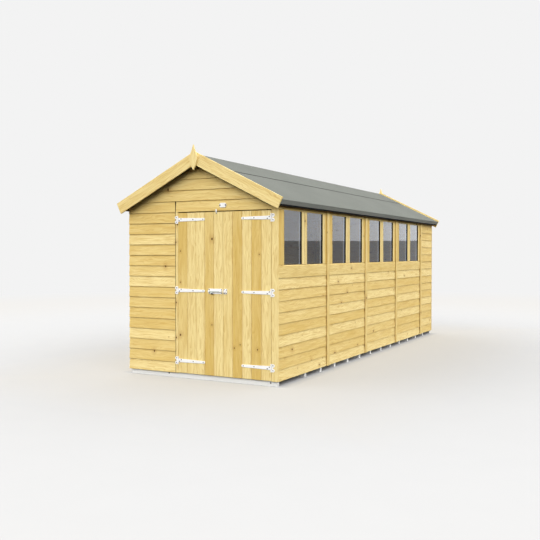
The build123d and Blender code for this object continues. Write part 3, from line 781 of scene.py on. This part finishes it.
# %% [markdown]
# ## Frame, floor and roof timber
# Inside are sawn studs, plates and purlins, a boarded floor on bearers, and boards under the felt. They show
# through the open doors and the glass. The studs keep the CAD shape with eased edges; floor and roof are
# laid board by board, one modelled and copied.

# %% Frame timber
for name, node in (("frame_studs", "wall_studs"), ("frame_plates", "wall_plates"),
                   ("ridge_and_purlins", "roof_purlins"), ("eave_fillets", "eave_battens")):
    fit(sticks(name, node, ARRIS["sawn_timber"], FRAME_TONE), framing_pine, "shed", "framing_timber", node)

# %% Floor and roof boards
FLOOR_BOARD_COUNT = 16
ROOF_BOARD_COUNT = 9
DECK_TONES = (0.2, 0.9)


def decking(name, matrix, width, length, thickness, count):
    """Boards laid side by side along Y of a bench frame, from X 0 to a width, with their tops at Z 0."""
    step = width / count
    pattern = ease(block((0, 0, -thickness), (step, length, 0)), ARRIS["sawn_timber"])
    laid = []
    for index in range(count):
        board = copied(pattern, matrix @ Matrix.Translation((index * step, 0, 0)))
        laid.append(wood(board, (0, 1, 0), matrix.to_3x3() @ Vector((1, 0, 0)), yard.uniform(*DECK_TONES)))
    scrap(pattern)
    return joined(name, laid)


deck_low, deck_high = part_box("floor_deck")
floor_boards = decking("floor_boards", Matrix.Translation((deck_low.x, deck_low.y, deck_high.z)),
                       deck_high.x - deck_low.x, deck_high.y - deck_low.y, deck_high.z - deck_low.z,
                       FLOOR_BOARD_COUNT)
fit(floor_boards, floor_pine, "shed", "floor_boards", "floor_deck")

roof_low, roof_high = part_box("right_roof_boards")
ROOF_BOARD = 0.012
ridge_top = roof_high.z
eave_run = roof_high.x / math.cos(slope_angle)
roof_length = roof_high.y - roof_low.y


def slope_frame(way):
    """Bench frame of a roof slope: X down the slope from the ridge, Y along the shed, Z out of the roof."""
    down = Vector((way * math.cos(slope_angle), 0, -math.sin(slope_angle)))
    out = Vector((way * math.sin(slope_angle), 0, math.cos(slope_angle)))
    along = out.cross(down)
    turn = Matrix((down, along, out)).transposed().to_4x4()
    return Matrix.Translation((0, -way * roof_length / 2, ridge_top)) @ turn


for side, way in (("left", -1), ("right", 1)):
    boards = decking(side + "_roof_decking", slope_frame(way), eave_run, roof_length, ROOF_BOARD,
                     ROOF_BOARD_COUNT)
    fit(boards, framing_pine, "shed", "framing_timber", side + "_roof_boards")

# %% [markdown]
# ## Bearers
# The bearers are pressure-treated sticks with a white priming coat, and their ends show as white squares
# below the side wall. The paint lets a little of the grain through, so its relief is the wood's own.

# %% Bearers
def white_primer():
    """White priming paint on sawn softwood."""
    material, tree = new_material("white_primed_softwood")
    place = add(tree, "ShaderNodeAttribute", attribute_name="wood_place").outputs["Vector"]
    long_place = add(tree, "ShaderNodeVectorMath", {0: place, 1: (6.0, 70.0, 70.0)},
                     operation="MULTIPLY").outputs[0]
    grain = add(tree, "ShaderNodeTexNoise", {"Vector": long_place, "Scale": 1.0, "Detail": 4.0}).outputs[0]
    colour = add(tree, "ShaderNodeMix", {0: grain, 6: srgb("#F1F0EC"), 7: srgb("#E4E3DE")},
                 data_type="RGBA").outputs[2]
    bump = add(tree, "ShaderNodeBump", {"Strength": 0.3, "Distance": 0.001, "Height": grain})
    shader = add(tree, "ShaderNodeBsdfPrincipled", {"Base Color": colour, "Roughness": 0.55,
                                                    "Normal": bump.outputs[0]})
    add(tree, "ShaderNodeOutputMaterial", {"Surface": shader.outputs[0]})
    return material


bearers = sticks("primed_bearers", "floor_bearers", ARRIS["bearer"], FRAME_TONE)
fit(bearers, white_primer(), "shed", "bearer_timber", "floor_bearers")

# %% [markdown]
# ## Roofing felt
# The roof is covered with grey mineral felt: one sheet a side, folded down over the eave, and a cap sheet
# over the ridge whose lower edge makes the one dark lap line on the slope. Each sheet starts as a grid that
# is laid on the slope, folded by extruding its eave edge, and given its thickness with Solidify. The folded
# eave band takes a paler copy of the felt, which is painted light. Black strips are painted shade: one hangs
# below each eave band, one lies behind each bargeboard and reaches below it, a bead darkens the lap line,
# and one fills the gap beside the left door post.

# %% Felt sheets
FELT = 0.003
EAVE_BAND = 0.046
CAP_REACH = 0.355 / math.cos(slope_angle)
FELT_ROWS = 8
FELT_BAYS = 40


def mineral_felt(name, dark, light):
    """Bitumen felt with crushed mineral on it; the grit is drawn at 5 mm so that it shows."""
    material, tree = new_material(name)
    place = add(tree, "ShaderNodeTexCoord").outputs["Object"]
    grit = add(tree, "ShaderNodeTexNoise", {"Vector": place, "Scale": 220.0, "Detail": 2.0}).outputs[0]
    cloud = add(tree, "ShaderNodeTexNoise", {"Vector": place, "Scale": 1.6, "Detail": 4.0}).outputs[0]
    shade = add(tree, "ShaderNodeMath", {0: grit, 1: 3.0, 2: cloud}, operation="MULTIPLY_ADD").outputs[0]
    level = add(tree, "ShaderNodeMapRange", {0: shade, 1: 1.4, 2: 2.6, 3: 0.0, 4: 1.0}).outputs[0]
    colour = add(tree, "ShaderNodeMix", {0: level, 6: srgb(dark), 7: srgb(light)},
                 data_type="RGBA").outputs[2]
    bump = add(tree, "ShaderNodeBump", {"Strength": 0.5, "Distance": 0.0015, "Height": grit})
    shader = add(tree, "ShaderNodeBsdfPrincipled", {"Base Color": colour, "Roughness": 0.92,
                                                    "Normal": bump.outputs[0], "Specular IOR Level": 0.15})
    add(tree, "ShaderNodeOutputMaterial", {"Surface": shader.outputs[0]})
    return material


felt_grey = mineral_felt("grey_mineral_felt", "#696C66", "#7A7D76")
# a paler copy of the felt for the eave band: painted light, brightening the band that faces down the slope
felt_band_painted_light = mineral_felt("grey_mineral_felt_band_painted_light", "#7F827C", "#92958E")
# black painted shade for the strips under the eave bands, behind the bargeboards, along the lap and by the
# post
shade_black = mottled("black_painted_shade", 30.0, "#0C0C0B", "#1A1918",
                  {"Roughness": 0.85, "Specular IOR Level": 0.1})


def felt_sheet(run, lift, band):
    """A sheet on the bench: X down the slope, Y along the roof, its eave edge folded down by a band."""
    bpy.ops.object.select_all(action="DESELECT")
    bpy.ops.mesh.primitive_grid_add(x_subdivisions=FELT_ROWS, y_subdivisions=FELT_BAYS, size=1)
    sheet = bpy.context.object
    sheet.data.transform(Matrix.Translation((run / 2, roof_length / 2, lift)) @ Matrix.Diagonal(
        (run, roof_length, 1, 1)))
    if band:
        pick(sheet, "EDGE", lambda middle, way: middle.x > run - NEAR and abs(way.y) > FACING)
        bpy.ops.mesh.extrude_region_move(TRANSFORM_OT_translate={"value": (0, 0, -band)})
        done()
    return apply(sheet, "SOLIDIFY", thickness=FELT, offset=-1.0)


for side, way in (("left", -1), ("right", 1)):
    sheet = felt_sheet(eave_run + FELT, FELT, EAVE_BAND)
    sheet.data.transform(slope_frame(way))
    sheet.name = side + "_felt_sheet"
    fit(sheet, felt_grey, "shed", "roofing_felt", side + "_roof_felt")
    # the faces of the eave band take the paler copy, which is painted light
    sheet.data.materials.append(felt_band_painted_light)
    down = slope_frame(way).to_3x3() @ Vector((1, 0, 0))
    for face in sheet.data.polygons:
        face.material_index = 1 if face.normal.dot(down) > 0.7 else 0
caps = []
for way in (-1, 1):
    half = felt_sheet(CAP_REACH, 2 * FELT, 0)
    half.data.transform(slope_frame(way))
    caps.append(half)
fit(joined("ridge_felt_cap", caps), felt_grey, "shed", "roofing_felt", "ridge_felt")

# %% Black strips of painted shade under the eaves, behind the bargeboards, at the lap and by the post
EAVE_SHADE_WIDTH = 0.015
EAVE_SHADE_DROP = 0.018
LAP_SHADE_WIDTH = 0.008
LAP_SHADE_RISE = 1.7 * FELT
BARGE_DEPTH = 0.0935
VERGE_SHADE_DROP = 0.006
POST_SHADE_WIDTH = 0.004
POST_SHADE_FACE = 0.0028
POST_SHADE_BACK = 0.0175
band_foot = FELT - EAVE_BAND
wall_run = half_width / math.cos(slope_angle)
lines = []
for way in (-1, 1):
    # painted shade: a black strip hangs below the eave band, and a black bead darkens the lap line
    turn = block((eave_run - EAVE_SHADE_WIDTH, 0, band_foot - EAVE_SHADE_DROP),
                 (eave_run + FELT, roof_length, band_foot))
    lap = block((CAP_REACH, 0, FELT), (CAP_REACH + LAP_SHADE_WIDTH, roof_length, LAP_SHADE_RISE))
    # painted shade: a black sheet behind each bargeboard reaches below its lower edge
    verge_shades = [block((0, y, -BARGE_DEPTH - VERGE_SHADE_DROP), (wall_run, y + FELT, -ROOF_BOARD))
              for y in (0, roof_length - FELT)]
    eased = [ease(turn, ARRIS["eave_shade_strip"], 2)]
    eased += [ease(strip, ARRIS["shade_line"]) for strip in [lap] + verge_shades]
    for line in eased:
        line.data.transform(slope_frame(way))
        lines.append(line)
# painted shade: a black strip fills the gap beside the left door post
post_gap_shade = block((panel_right, front + POST_SHADE_FACE, panel_low.z),
                   (panel_right + POST_SHADE_WIDTH, front + POST_SHADE_BACK, end_top))
lines.append(ease(post_gap_shade, ARRIS["thin_strip"]))
fit(joined("painted_shade_lines", lines), shade_black, "shed", "roofing_felt")

# %% [markdown]
# ## Ironmongery
# The hinges, pad bolt, bare plate and stop are pressed steel with a white coat and dark screws. They are
# modelled flat on the bench, X to the right, Y up and Z towards the viewer, then hung on the front wall.

# %% White coat and dark screws
PEEL = 0.15            # strength of the paint's orange peel
SCREW_SINK = 0.001     # metres that a head reaches into its plate
SCREW_PROUD = 0.0012   # metres that it stands out
SCREW_RECESS = 0.0007  # depth of its recess
SCREW_RADIUS = 0.0055
# pressed steel under a white coat with faint orange peel, japanned screws and dull zinc plating
white_steel = mottled("white_coated_steel", 180.0, "#FCFBF9", "#F5F4F2", {"Roughness": 0.35}, PEEL)
dark_steel = mottled("black_japanned_screws", 180.0, "#2A2622", "#3A352F", {"Roughness": 0.45}, PEEL)
zinc_steel = mottled("dull_zinc_plate", 180.0, "#CDD5CE", "#DBE0DB", {"Roughness": 0.5}, PEEL)
BENCH_TO_FRONT = Matrix(((1, 0, 0, 0), (0, 0, -1, front), (0, 1, 0, 0), (0, 0, 0, 1)))


def disc(x, y, low, high, radius, sides):
    """A short cylinder standing on the bench."""
    bpy.ops.object.select_all(action="DESELECT")
    bpy.ops.mesh.primitive_cylinder_add(vertices=sides, radius=radius, depth=high - low,
                                        location=(x, y, (low + high) / 2))
    bpy.ops.object.transform_apply(location=True, rotation=True, scale=True)
    return bpy.context.object


def screw_head(x, y, seat, radius=SCREW_RADIUS):
    """A countersunk screw with a recess in its head."""
    head = disc(x, y, seat - SCREW_SINK, seat + SCREW_PROUD, radius, 12)
    pick(head, "FACE", lambda middle, normal: normal.z > FACING)
    bpy.ops.mesh.inset(thickness=radius / 2)
    bpy.ops.transform.translate(value=(0, 0, -SCREW_RECESS))
    done()
    return head


print("coats ready:", white_steel.name, dark_steel.name, zinc_steel.name)

# %% T hinges
PLATE_WIDTH = 0.038
PLATE_HEIGHT = 0.080
LOBE = 0.0175
HINGE_SHEET = 0.0025
STRAP_SHEET = 0.0045
KNUCKLE = 0.005
STRAP_LENGTH = 0.330
STRAP_ROOT = 0.038
STRAP_END = 0.024
KNUCKLE_GAP = 0.001
LEAF_HALF = 0.42 * PLATE_HEIGHT
LEAF_EDGE = 1.3 * KNUCKLE
EAR_EDGE = 1.4 * KNUCKLE
STRAP_NOSE = 0.42 * STRAP_END
LOBE_SCREW = 0.92 * LOBE


def hinge_plate():
    """The cross plate left of the pin: a leaf with two round lobes and an ear to each knuckle."""
    leaf = block((-PLATE_WIDTH / 2, -LEAF_HALF, 0), (-LEAF_EDGE, LEAF_HALF, HINGE_SHEET))
    for way in (-1, 1):
        lobe = disc(LOBE - PLATE_WIDTH, way * (PLATE_HEIGHT / 2 - LOBE), 0, HINGE_SHEET, LOBE, 24)
        low_ear, high_ear = sorted((way * PLATE_HEIGHT / 2, way * (STRAP_ROOT / 2 + KNUCKLE_GAP)))
        ear = block((-EAR_EDGE, low_ear, 0), (0, high_ear, HINGE_SHEET))
        for part in (lobe, ear):
            apply(leaf, "BOOLEAN", operation="UNION", object=part, solver="EXACT")
            scrap(part)
    return ease(leaf, ARRIS["hinge_plate"])


def knuckle(y_start, y_end):
    """A rolled knuckle round the pin."""
    bpy.ops.object.select_all(action="DESELECT")
    bpy.ops.mesh.primitive_cylinder_add(vertices=16, radius=KNUCKLE, depth=y_end - y_start,
                                        location=(0, (y_start + y_end) / 2, KNUCKLE),
                                        rotation=(math.pi / 2, 0, 0))
    bpy.ops.object.transform_apply(location=True, rotation=True, scale=True)
    return ease(bpy.context.object, ARRIS["pressed_sheet"])


def hinge_strap():
    """The pressed strap right of the pin, tapered to a round end."""
    strap = block((0, -STRAP_ROOT / 2, 0), (STRAP_LENGTH, STRAP_ROOT / 2, STRAP_SHEET))
    pick(strap, "FACE", lambda middle, normal: normal.x > FACING)
    bpy.ops.transform.resize(value=(1, STRAP_END / STRAP_ROOT, 1), center_override=(0, 0, 0))
    done()
    pick(strap, "EDGE", lambda middle, way: abs(way.z) > FACING and middle.x > STRAP_LENGTH - NEAR)
    bpy.ops.mesh.bevel(offset=STRAP_NOSE, segments=5)
    done()
    return ease(strap, ARRIS["hinge_strap"])


plate_screws = [(LOBE - PLATE_WIDTH, way * (PLATE_HEIGHT / 2 - LOBE_SCREW)) for way in (-1, 1)]
strap_screws = [(0.018, -0.009), (0.040, 0.009), (0.187, 0.0), (0.308, 0.0)]
fixed_pattern = joined("hinge_plate_pattern",
                       [hinge_plate(), knuckle(-PLATE_HEIGHT / 2, -STRAP_ROOT / 2 - KNUCKLE_GAP),
                        knuckle(STRAP_ROOT / 2 + KNUCKLE_GAP, PLATE_HEIGHT / 2)])
strap_pattern = joined("hinge_strap_pattern", [hinge_strap(), knuckle(-STRAP_ROOT / 2, STRAP_ROOT / 2)])
fixed_screws = joined("plate_screw_pattern", [screw_head(x, y, HINGE_SHEET) for x, y in plate_screws])
moving_screws = joined("strap_screw_pattern", [screw_head(x, y, STRAP_SHEET) for x, y in strap_screws])

door_low, door_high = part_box("left_door")
right_door_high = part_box("right_door")[1]
HINGE_FROM_BOTTOM = 0.127
HINGE_FROM_TOP = 0.0705
PIN_SETBACK = 0.003
low_hinge = door_low.z + HINGE_FROM_BOTTOM
high_hinge = door_high.z - HINGE_FROM_TOP
hinge_heights = (low_hinge, (low_hinge + high_hinge) / 2, high_hinge)
hands = {"left": (door_low.x - PIN_SETBACK, 0), "right": (right_door_high.x + PIN_SETBACK, math.pi)}


def hung(name, pattern, *chosen):
    """Copies of a hinge part at each height; the right-hand hinge is the same part turned half round."""
    copies = []
    for hand in chosen:
        pin, turn = hands[hand]
        for z_hinge in hinge_heights:
            place = Matrix.Translation((pin, z_hinge, 0)) @ Matrix.Rotation(turn, 4, "Z")
            copies.append(copied(pattern, BENCH_TO_FRONT @ place))
    return joined(name, copies)


cross_plates = hung("hinge_cross_plates", fixed_pattern, "left", "right")
fit(cross_plates, white_steel, "shed", "bright_steel", "hinge_plates")
fit(hung("hinge_plate_screws", fixed_screws, "left", "right"), dark_steel, "shed", "bright_steel")
for hand in hands:
    fit(hung(hand + "_straps", strap_pattern, hand), white_steel, hand + "_leaf", "bright_steel",
        hand + "_hinge_straps")
    fit(hung(hand + "_strap_screws", moving_screws, hand), dark_steel, hand + "_leaf", "bright_steel")
scrap(fixed_pattern, strap_pattern, fixed_screws, moving_screws)

# %% [markdown]
# ## Pad bolt, bare plate and stop
# The pad bolt is a plate with two guides that hold a round bar, and a keeper with a staple on the other leaf.
# The guides are blocks with rounded shoulders, bored through for the bar. The bar is dull zinc and its lug
# hangs down in front of the plate, so that a hand can slide it. Each fitting gets its dark screws, and two
# more sit in the front bearer.

# %% Pad bolt
BOLT_RADIUS = 0.006
BOLT_STANDOFF = 0.014
BORE = 0.0064
BOLT_SHEET = 0.003
GUIDE = (0.016, 0.024)
GUIDE_INSET = 0.004
GUIDE_SHOULDER = 0.008
LUG = (0.030, 0.004)
PLATE_CORNER = 0.004


def bench_box(node):
    """A node's lowest and highest corner in the bench frame of the front."""
    low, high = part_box(node)
    return Vector((low.x, low.z, front - high.y)), Vector((high.x, high.z, front - low.y))


def sheet_plate(low, high, thickness):
    """A pressed plate with rounded corners."""
    plate = block(low, (high.x, high.y, thickness))
    pick(plate, "EDGE", lambda middle, way: abs(way.z) > FACING)
    bpy.ops.mesh.bevel(offset=PLATE_CORNER, segments=3)
    done()
    return ease(plate, ARRIS["pressed_sheet"])


def lying_rod(x_start, x_end, radius):
    """A round bar along the bolt's line."""
    bpy.ops.object.select_all(action="DESELECT")
    bpy.ops.mesh.primitive_cylinder_add(vertices=24, radius=radius, depth=x_end - x_start,
                                        location=((x_start + x_end) / 2, hinge_heights[1], BOLT_STANDOFF),
                                        rotation=(0, math.pi / 2, 0))
    bpy.ops.object.transform_apply(location=True, rotation=True, scale=True)
    return bpy.context.object


def guide(x_start, depth):
    """A guide with rounded shoulders, bored for the bar."""
    length, height = GUIDE
    shoulder = block((x_start, hinge_heights[1] - height / 2, 0),
                     (x_start + length, hinge_heights[1] + height / 2, depth))
    pick(shoulder, "EDGE", lambda middle, way: abs(way.x) > FACING and middle.z > depth / 2)
    bpy.ops.mesh.bevel(offset=GUIDE_SHOULDER, segments=4)
    done()
    bore = lying_rod(x_start - length, x_start + 2 * length, BORE)
    apply(shoulder, "BOOLEAN", operation="DIFFERENCE", object=bore, solver="EXACT")
    scrap(bore)
    return shoulder


bolt_low, bolt_high = bench_box("pad_bolt_plate")
bolt_guides = [guide(bolt_low.x + GUIDE_INSET, bolt_high.z),
               guide(bolt_high.x - GUIDE_INSET - GUIDE[0], bolt_high.z)]
bolt_plate = joined("bolt_plate", [sheet_plate(bolt_low, bolt_high, BOLT_SHEET)] + bolt_guides)
bolt_plate.data.transform(BENCH_TO_FRONT)
fit(bolt_plate, white_steel, "left_leaf", "bright_steel", "pad_bolt_plate")

bar_low, bar_high = bench_box("pad_bolt_bar")
bar = ease(lying_rod(bar_low.x, bar_high.x, BOLT_RADIUS), ARRIS["bolt_bar"], 2)
lug_start = bolt_low.x + 2 * GUIDE_INSET + GUIDE[0]
lug = block((lug_start, bar_low.y, BOLT_STANDOFF - LUG[1] / 2),
            (lug_start + LUG[0], hinge_heights[1], BOLT_STANDOFF + LUG[1] / 2))
apply(bar, "BOOLEAN", operation="UNION", object=ease(lug, ARRIS["bolt_lug"]), solver="EXACT")
scrap(lug)
bar.name = "bolt_bar"
bar.data.transform(BENCH_TO_FRONT)
fit(bar, zinc_steel, "bolt", "bright_steel", "pad_bolt_bar")
# a black tip on the foot of the lug
LUG_TIP = (0.018, 0.014, 0.009)
lug_tip = block((lug_start + LUG[0] - LUG_TIP[0], bar_low.y - LUG_TIP[1] / 2, BOLT_STANDOFF - LUG_TIP[2] / 2),
             (lug_start + LUG[0], bar_low.y + LUG_TIP[1] / 2, BOLT_STANDOFF + LUG_TIP[2] / 2))
ease(lug_tip, ARRIS["bolt_lug_tip"], 3)
lug_tip.name = "bolt_lug_tip"
lug_tip.data.transform(BENCH_TO_FRONT)
fit(lug_tip, matt_black, "bolt", "bright_steel")
keeper = from_cad("bolt_keeper", "pad_bolt_keeper", ARRIS["keeper"])
fit(keeper, white_steel, "right_leaf", "bright_steel", "pad_bolt_keeper")

# %% Bare plate, stop and their screws
PLATE_NOTCH = 0.012
blank_low, blank_high = bench_box("blank_plate")
PLATE_TRIM = Vector((0, 0.005, 0))
blank = block(blank_low + PLATE_TRIM, blank_high - PLATE_TRIM)
pick(blank, "EDGE", lambda middle, way: abs(way.z) > FACING)
bpy.ops.mesh.bevel(offset=PLATE_NOTCH, segments=4, profile=0.12)
done()
blank.name = "bare_plate"
ease(blank, ARRIS["pressed_sheet"])
blank.data.transform(BENCH_TO_FRONT)
fit(blank, white_steel, "shed", "bright_steel", "blank_plate")
STOP_TRIM = 0.012
stop_low, stop_high = bench_box("door_stop")
top_stop = from_cad("top_stop", "door_stop", ARRIS["stop"])
saw(top_stop, (0, 0, stop_low.y + STOP_TRIM), (0, 0, -1))
fit(top_stop, white_steel, "left_leaf", "bright_steel", "door_stop")

SCREW_INSET = 0.009
PLATE_SCREW = 0.0075
FOOT_SCREW = 0.008
FOOT_SCREWS = ((-0.390, 0.037), (0.811, 0.033))
bearer_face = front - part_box("floor_bearers")[0].y
keeper_low, keeper_high = bench_box("pad_bolt_keeper")
blank_middle = (blank_low.y + blank_high.y) / 2
corner_marks = [(x, y) for x in (bolt_low.x + SCREW_INSET, bolt_high.x - SCREW_INSET)
                for y in (bolt_low.y + SCREW_INSET, bolt_high.y - SCREW_INSET)]
keeper_marks = [(x, y) for x in (keeper_low.x + SCREW_INSET, keeper_high.x - SCREW_INSET)
                for y in (keeper_low.y + SCREW_INSET, keeper_high.y - SCREW_INSET)]
screw_sets = {
    "bolt_plate_screws": ("left_leaf", [screw_head(x, y, BOLT_SHEET) for x, y in corner_marks]),
    "keeper_screws": ("right_leaf", [screw_head(x, y, BOLT_SHEET) for x, y in keeper_marks]),
    "bare_plate_screws": ("shed", [screw_head(x, blank_middle, blank_high.z, PLATE_SCREW)
                                   for x in (blank_low.x + SCREW_INSET, blank_high.x - SCREW_INSET)]),
    "bearer_screws": ("shed", [screw_head(x, z, bearer_face, FOOT_SCREW) for x, z in FOOT_SCREWS]),
    "stop_screw": ("left_leaf", [screw_head((stop_low.x + stop_high.x) / 2,
                                            stop_low.y + STOP_TRIM + 0.5 * SCREW_INSET, BOLT_SHEET)]),
}
for name, (body, heads) in screw_sets.items():
    screws = joined(name, heads)
    screws.data.transform(BENCH_TO_FRONT)
    fit(screws, dark_steel, body, "bright_steel")

# %% [markdown]
# ## Camera and light
# The camera stands where the photograph was taken from, a little below mid height at the front right corner.
# No lamp is needed. Soft light comes from all round, as from softboxes that ring the shed from low to half
# height, so both walls are lit alike, and the verge, the eaves and the board laps keep their deep shade.
# Glass and gloss see the surround bright above the horizon and dark below it, as a studio floor falls away.
# Near the shed the floor glows a little for the camera, warm as if light bounced off the wood: this glow is
# painted light that lifts the shade the shed casts there. Further out it fades into the surround.

# %% Camera
SENSOR = 36.0  # mm
LENS = 47.86   # mm, from the camera fitted to the photograph, as are place and direction
CAMERA_PLACE = (4.0659, -8.7465, 1.2800)
CAMERA_DIP = 1.296    # degrees below level
CAMERA_TURN = 28.193  # degrees round from looking along the shed
camera_data = bpy.data.cameras.new("camera")
camera_data.sensor_width = SENSOR
camera_data.lens = LENS
camera = bpy.data.objects.new("camera", camera_data)
camera.location = CAMERA_PLACE
camera.rotation_euler = (math.radians(90 - CAMERA_DIP), 0, math.radians(CAMERA_TURN))
bpy.context.collection.objects.link(camera)
bpy.context.scene.camera = camera
print("camera at", tuple(round(x, 3) for x in camera.location))

# %% Floor
FLOOR_SIZE = 80.0
FLOOR_LIFT = 0.42       # share of glow in the floor near the shed
LIFT_RUN = 0.12         # metres beside the side walls over which the glow sets in
SINK_RUN = (0.3, 1.7)   # metres from the walls over which it ends
FADE_RUN = (5.0, 16.0)  # metres from the middle over which the floor fades into the surround
SURROUND = "#F3F3F3"


def studio_floor():
    """Pale painted floor that fades into the surround, so that no edge shows."""
    material, tree = new_material("pale_studio_floor")
    place = add(tree, "ShaderNodeTexCoord").outputs["Object"]
    reach = add(tree, "ShaderNodeVectorMath", {0: place}, operation="LENGTH").outputs["Value"]
    fade = add(tree, "ShaderNodeMapRange", {0: reach, 1: FADE_RUN[0], 2: FADE_RUN[1], 3: 0.0, 4: 1.0},
               interpolation_type="SMOOTHSTEP").outputs[0]
    spread = add(tree, "ShaderNodeVectorMath", {0: place}, operation="ABSOLUTE").outputs[0]
    past = add(tree, "ShaderNodeVectorMath", {0: spread, 1: (half_width, -front, 0)},
               operation="SUBTRACT").outputs[0]
    sides = add(tree, "ShaderNodeSeparateXYZ", {0: past})
    outside = add(tree, "ShaderNodeMath", {0: sides.outputs[0], 1: sides.outputs[1]},
                  operation="MAXIMUM").outputs[0]
    side_rise = add(tree, "ShaderNodeMapRange", {0: sides.outputs[0], 1: 0.0, 2: LIFT_RUN, 3: 0.0,
                                                 4: FLOOR_LIFT}).outputs[0]
    end_rise = add(tree, "ShaderNodeMapRange", {0: sides.outputs[1], 1: -BOARD_DEPTH, 2: 0.0, 3: 0.0,
                                                4: FLOOR_LIFT}).outputs[0]
    rise = add(tree, "ShaderNodeMath", {0: side_rise, 1: end_rise}, operation="MAXIMUM").outputs[0]
    sink = add(tree, "ShaderNodeMapRange", {0: outside, 1: SINK_RUN[0], 2: SINK_RUN[1], 3: 1.0,
                                            4: 0.0}).outputs[0]
    lift = add(tree, "ShaderNodeMath", {0: rise, 1: sink}, operation="MULTIPLY").outputs[0]
    lifted = add(tree, "ShaderNodeMath", {0: lift, 1: fade}, operation="MAXIMUM").outputs[0]
    mottle = add(tree, "ShaderNodeTexNoise", {"Vector": place, "Scale": 3.0, "Detail": 3.0}).outputs[0]
    pale = add(tree, "ShaderNodeMix", {0: mottle, 6: srgb("#BEBEBE"), 7: srgb("#BCBCBC")},
               data_type="RGBA").outputs[2]
    path = add(tree, "ShaderNodeLightPath")
    colour = add(tree, "ShaderNodeMix", {0: path.outputs["Is Diffuse Ray"], 6: pale, 7: srgb("#161616")},
                 data_type="RGBA").outputs[2]
    paint = add(tree, "ShaderNodeBsdfDiffuse", {0: colour})
    # the glow is warm near the shed: painted light, as if bounced off the wood, that lifts the shade there
    warm = add(tree, "ShaderNodeMix", {0: fade, 6: srgb("#F3ECDF"), 7: srgb(SURROUND)},
               data_type="RGBA").outputs[2]
    glow = add(tree, "ShaderNodeEmission", {0: warm, 1: 1.0})
    seen = add(tree, "ShaderNodeMath", {0: path.outputs["Is Camera Ray"], 1: path.outputs["Is Glossy Ray"]},
               operation="MAXIMUM").outputs[0]
    seen_all = add(tree, "ShaderNodeMath", {0: seen, 1: path.outputs["Is Transmission Ray"]},
                   operation="MAXIMUM").outputs[0]
    share = add(tree, "ShaderNodeMath", {0: lifted, 1: seen_all}, operation="MULTIPLY").outputs[0]
    shader = add(tree, "ShaderNodeMixShader", {0: share, 1: paint.outputs[0], 2: glow.outputs[0]})
    add(tree, "ShaderNodeOutputMaterial", {"Surface": shader.outputs[0]})
    return material


bpy.ops.object.select_all(action="DESELECT")
bpy.ops.mesh.primitive_plane_add(size=FLOOR_SIZE, location=(0, 0, 0))
floor = bpy.context.object
floor.name = "studio_floor"
floor.data.materials.append(studio_floor())
print("floor is", FLOOR_SIZE, "m wide")

# %% Surround
SKY_LEVEL = 2.80
FRONT_SHARE = 1.08
REAR_SHARE = 0.96
RING_START = math.sin(math.radians(19))
RING_END = math.sin(math.radians(38))
CROWN = math.sin(math.radians(62))
LOW_SHARE = 0.0
CROWN_SHARE = 0.25
HORIZON = math.sin(math.radians(1.02))
HORIZON_BLUR = 0.0004
BELOW_SHARE = 0.31
MIRROR_SIDE = (0.43, 1.42)
MIRROR_BACK = (0.295, 1.69)
world = bpy.data.worlds.new("pale_surround")
bpy.context.scene.world = world
world.use_nodes = True
sky = world.node_tree
sky.nodes.clear()
way = add(sky, "ShaderNodeTexCoord").outputs["Generated"]
ways = add(sky, "ShaderNodeSeparateXYZ", {0: way})
height = ways.outputs[2]
rise = add(sky, "ShaderNodeMapRange", {0: height, 1: 0.0, 2: RING_START, 3: LOW_SHARE, 4: 1.0}).outputs[0]
fall = add(sky, "ShaderNodeMapRange", {0: height, 1: RING_END, 2: CROWN, 3: SKY_LEVEL,
                                       4: SKY_LEVEL * CROWN_SHARE}).outputs[0]
facing = add(sky, "ShaderNodeMapRange", {0: ways.outputs[1], 1: -1.0, 2: 1.0, 3: FRONT_SHARE,
                                         4: REAR_SHARE}).outputs[0]
belt = add(sky, "ShaderNodeMath", {0: rise, 1: fall}, operation="MULTIPLY").outputs[0]
ring = add(sky, "ShaderNodeMath", {0: belt, 1: facing}, operation="MULTIPLY").outputs[0]
above = add(sky, "ShaderNodeMapRange", {0: height, 1: HORIZON - HORIZON_BLUR, 2: HORIZON + HORIZON_BLUR,
                                        3: BELOW_SHARE, 4: 1.0}).outputs[0]
round_about = add(sky, "ShaderNodeMapRange", {0: ways.outputs[0], 1: MIRROR_SIDE[0], 2: MIRROR_BACK[0],
                                              3: MIRROR_SIDE[1], 4: MIRROR_BACK[1]}).outputs[0]
mirrored = add(sky, "ShaderNodeMath", {0: above, 1: round_about}, operation="MULTIPLY").outputs[0]
path = add(sky, "ShaderNodeLightPath")
mirror_ray = add(sky, "ShaderNodeMath", {0: path.outputs["Is Glossy Ray"],
                                         1: path.outputs["Is Transmission Ray"]},
                 operation="MAXIMUM").outputs[0]
lit = add(sky, "ShaderNodeMix", {0: mirror_ray, 6: ring, 7: mirrored}, data_type="RGBA").outputs[2]
shown = add(sky, "ShaderNodeMix", {0: path.outputs["Is Camera Ray"], 6: lit, 7: srgb(SURROUND)},
            data_type="RGBA").outputs[2]
background = add(sky, "ShaderNodeBackground", {0: shown, 1: 1.0})
add(sky, "ShaderNodeOutputWorld", {"Surface": background.outputs[0]})

bpy.context.scene.view_settings.view_transform = "Standard"
print("surround level", SKY_LEVEL)
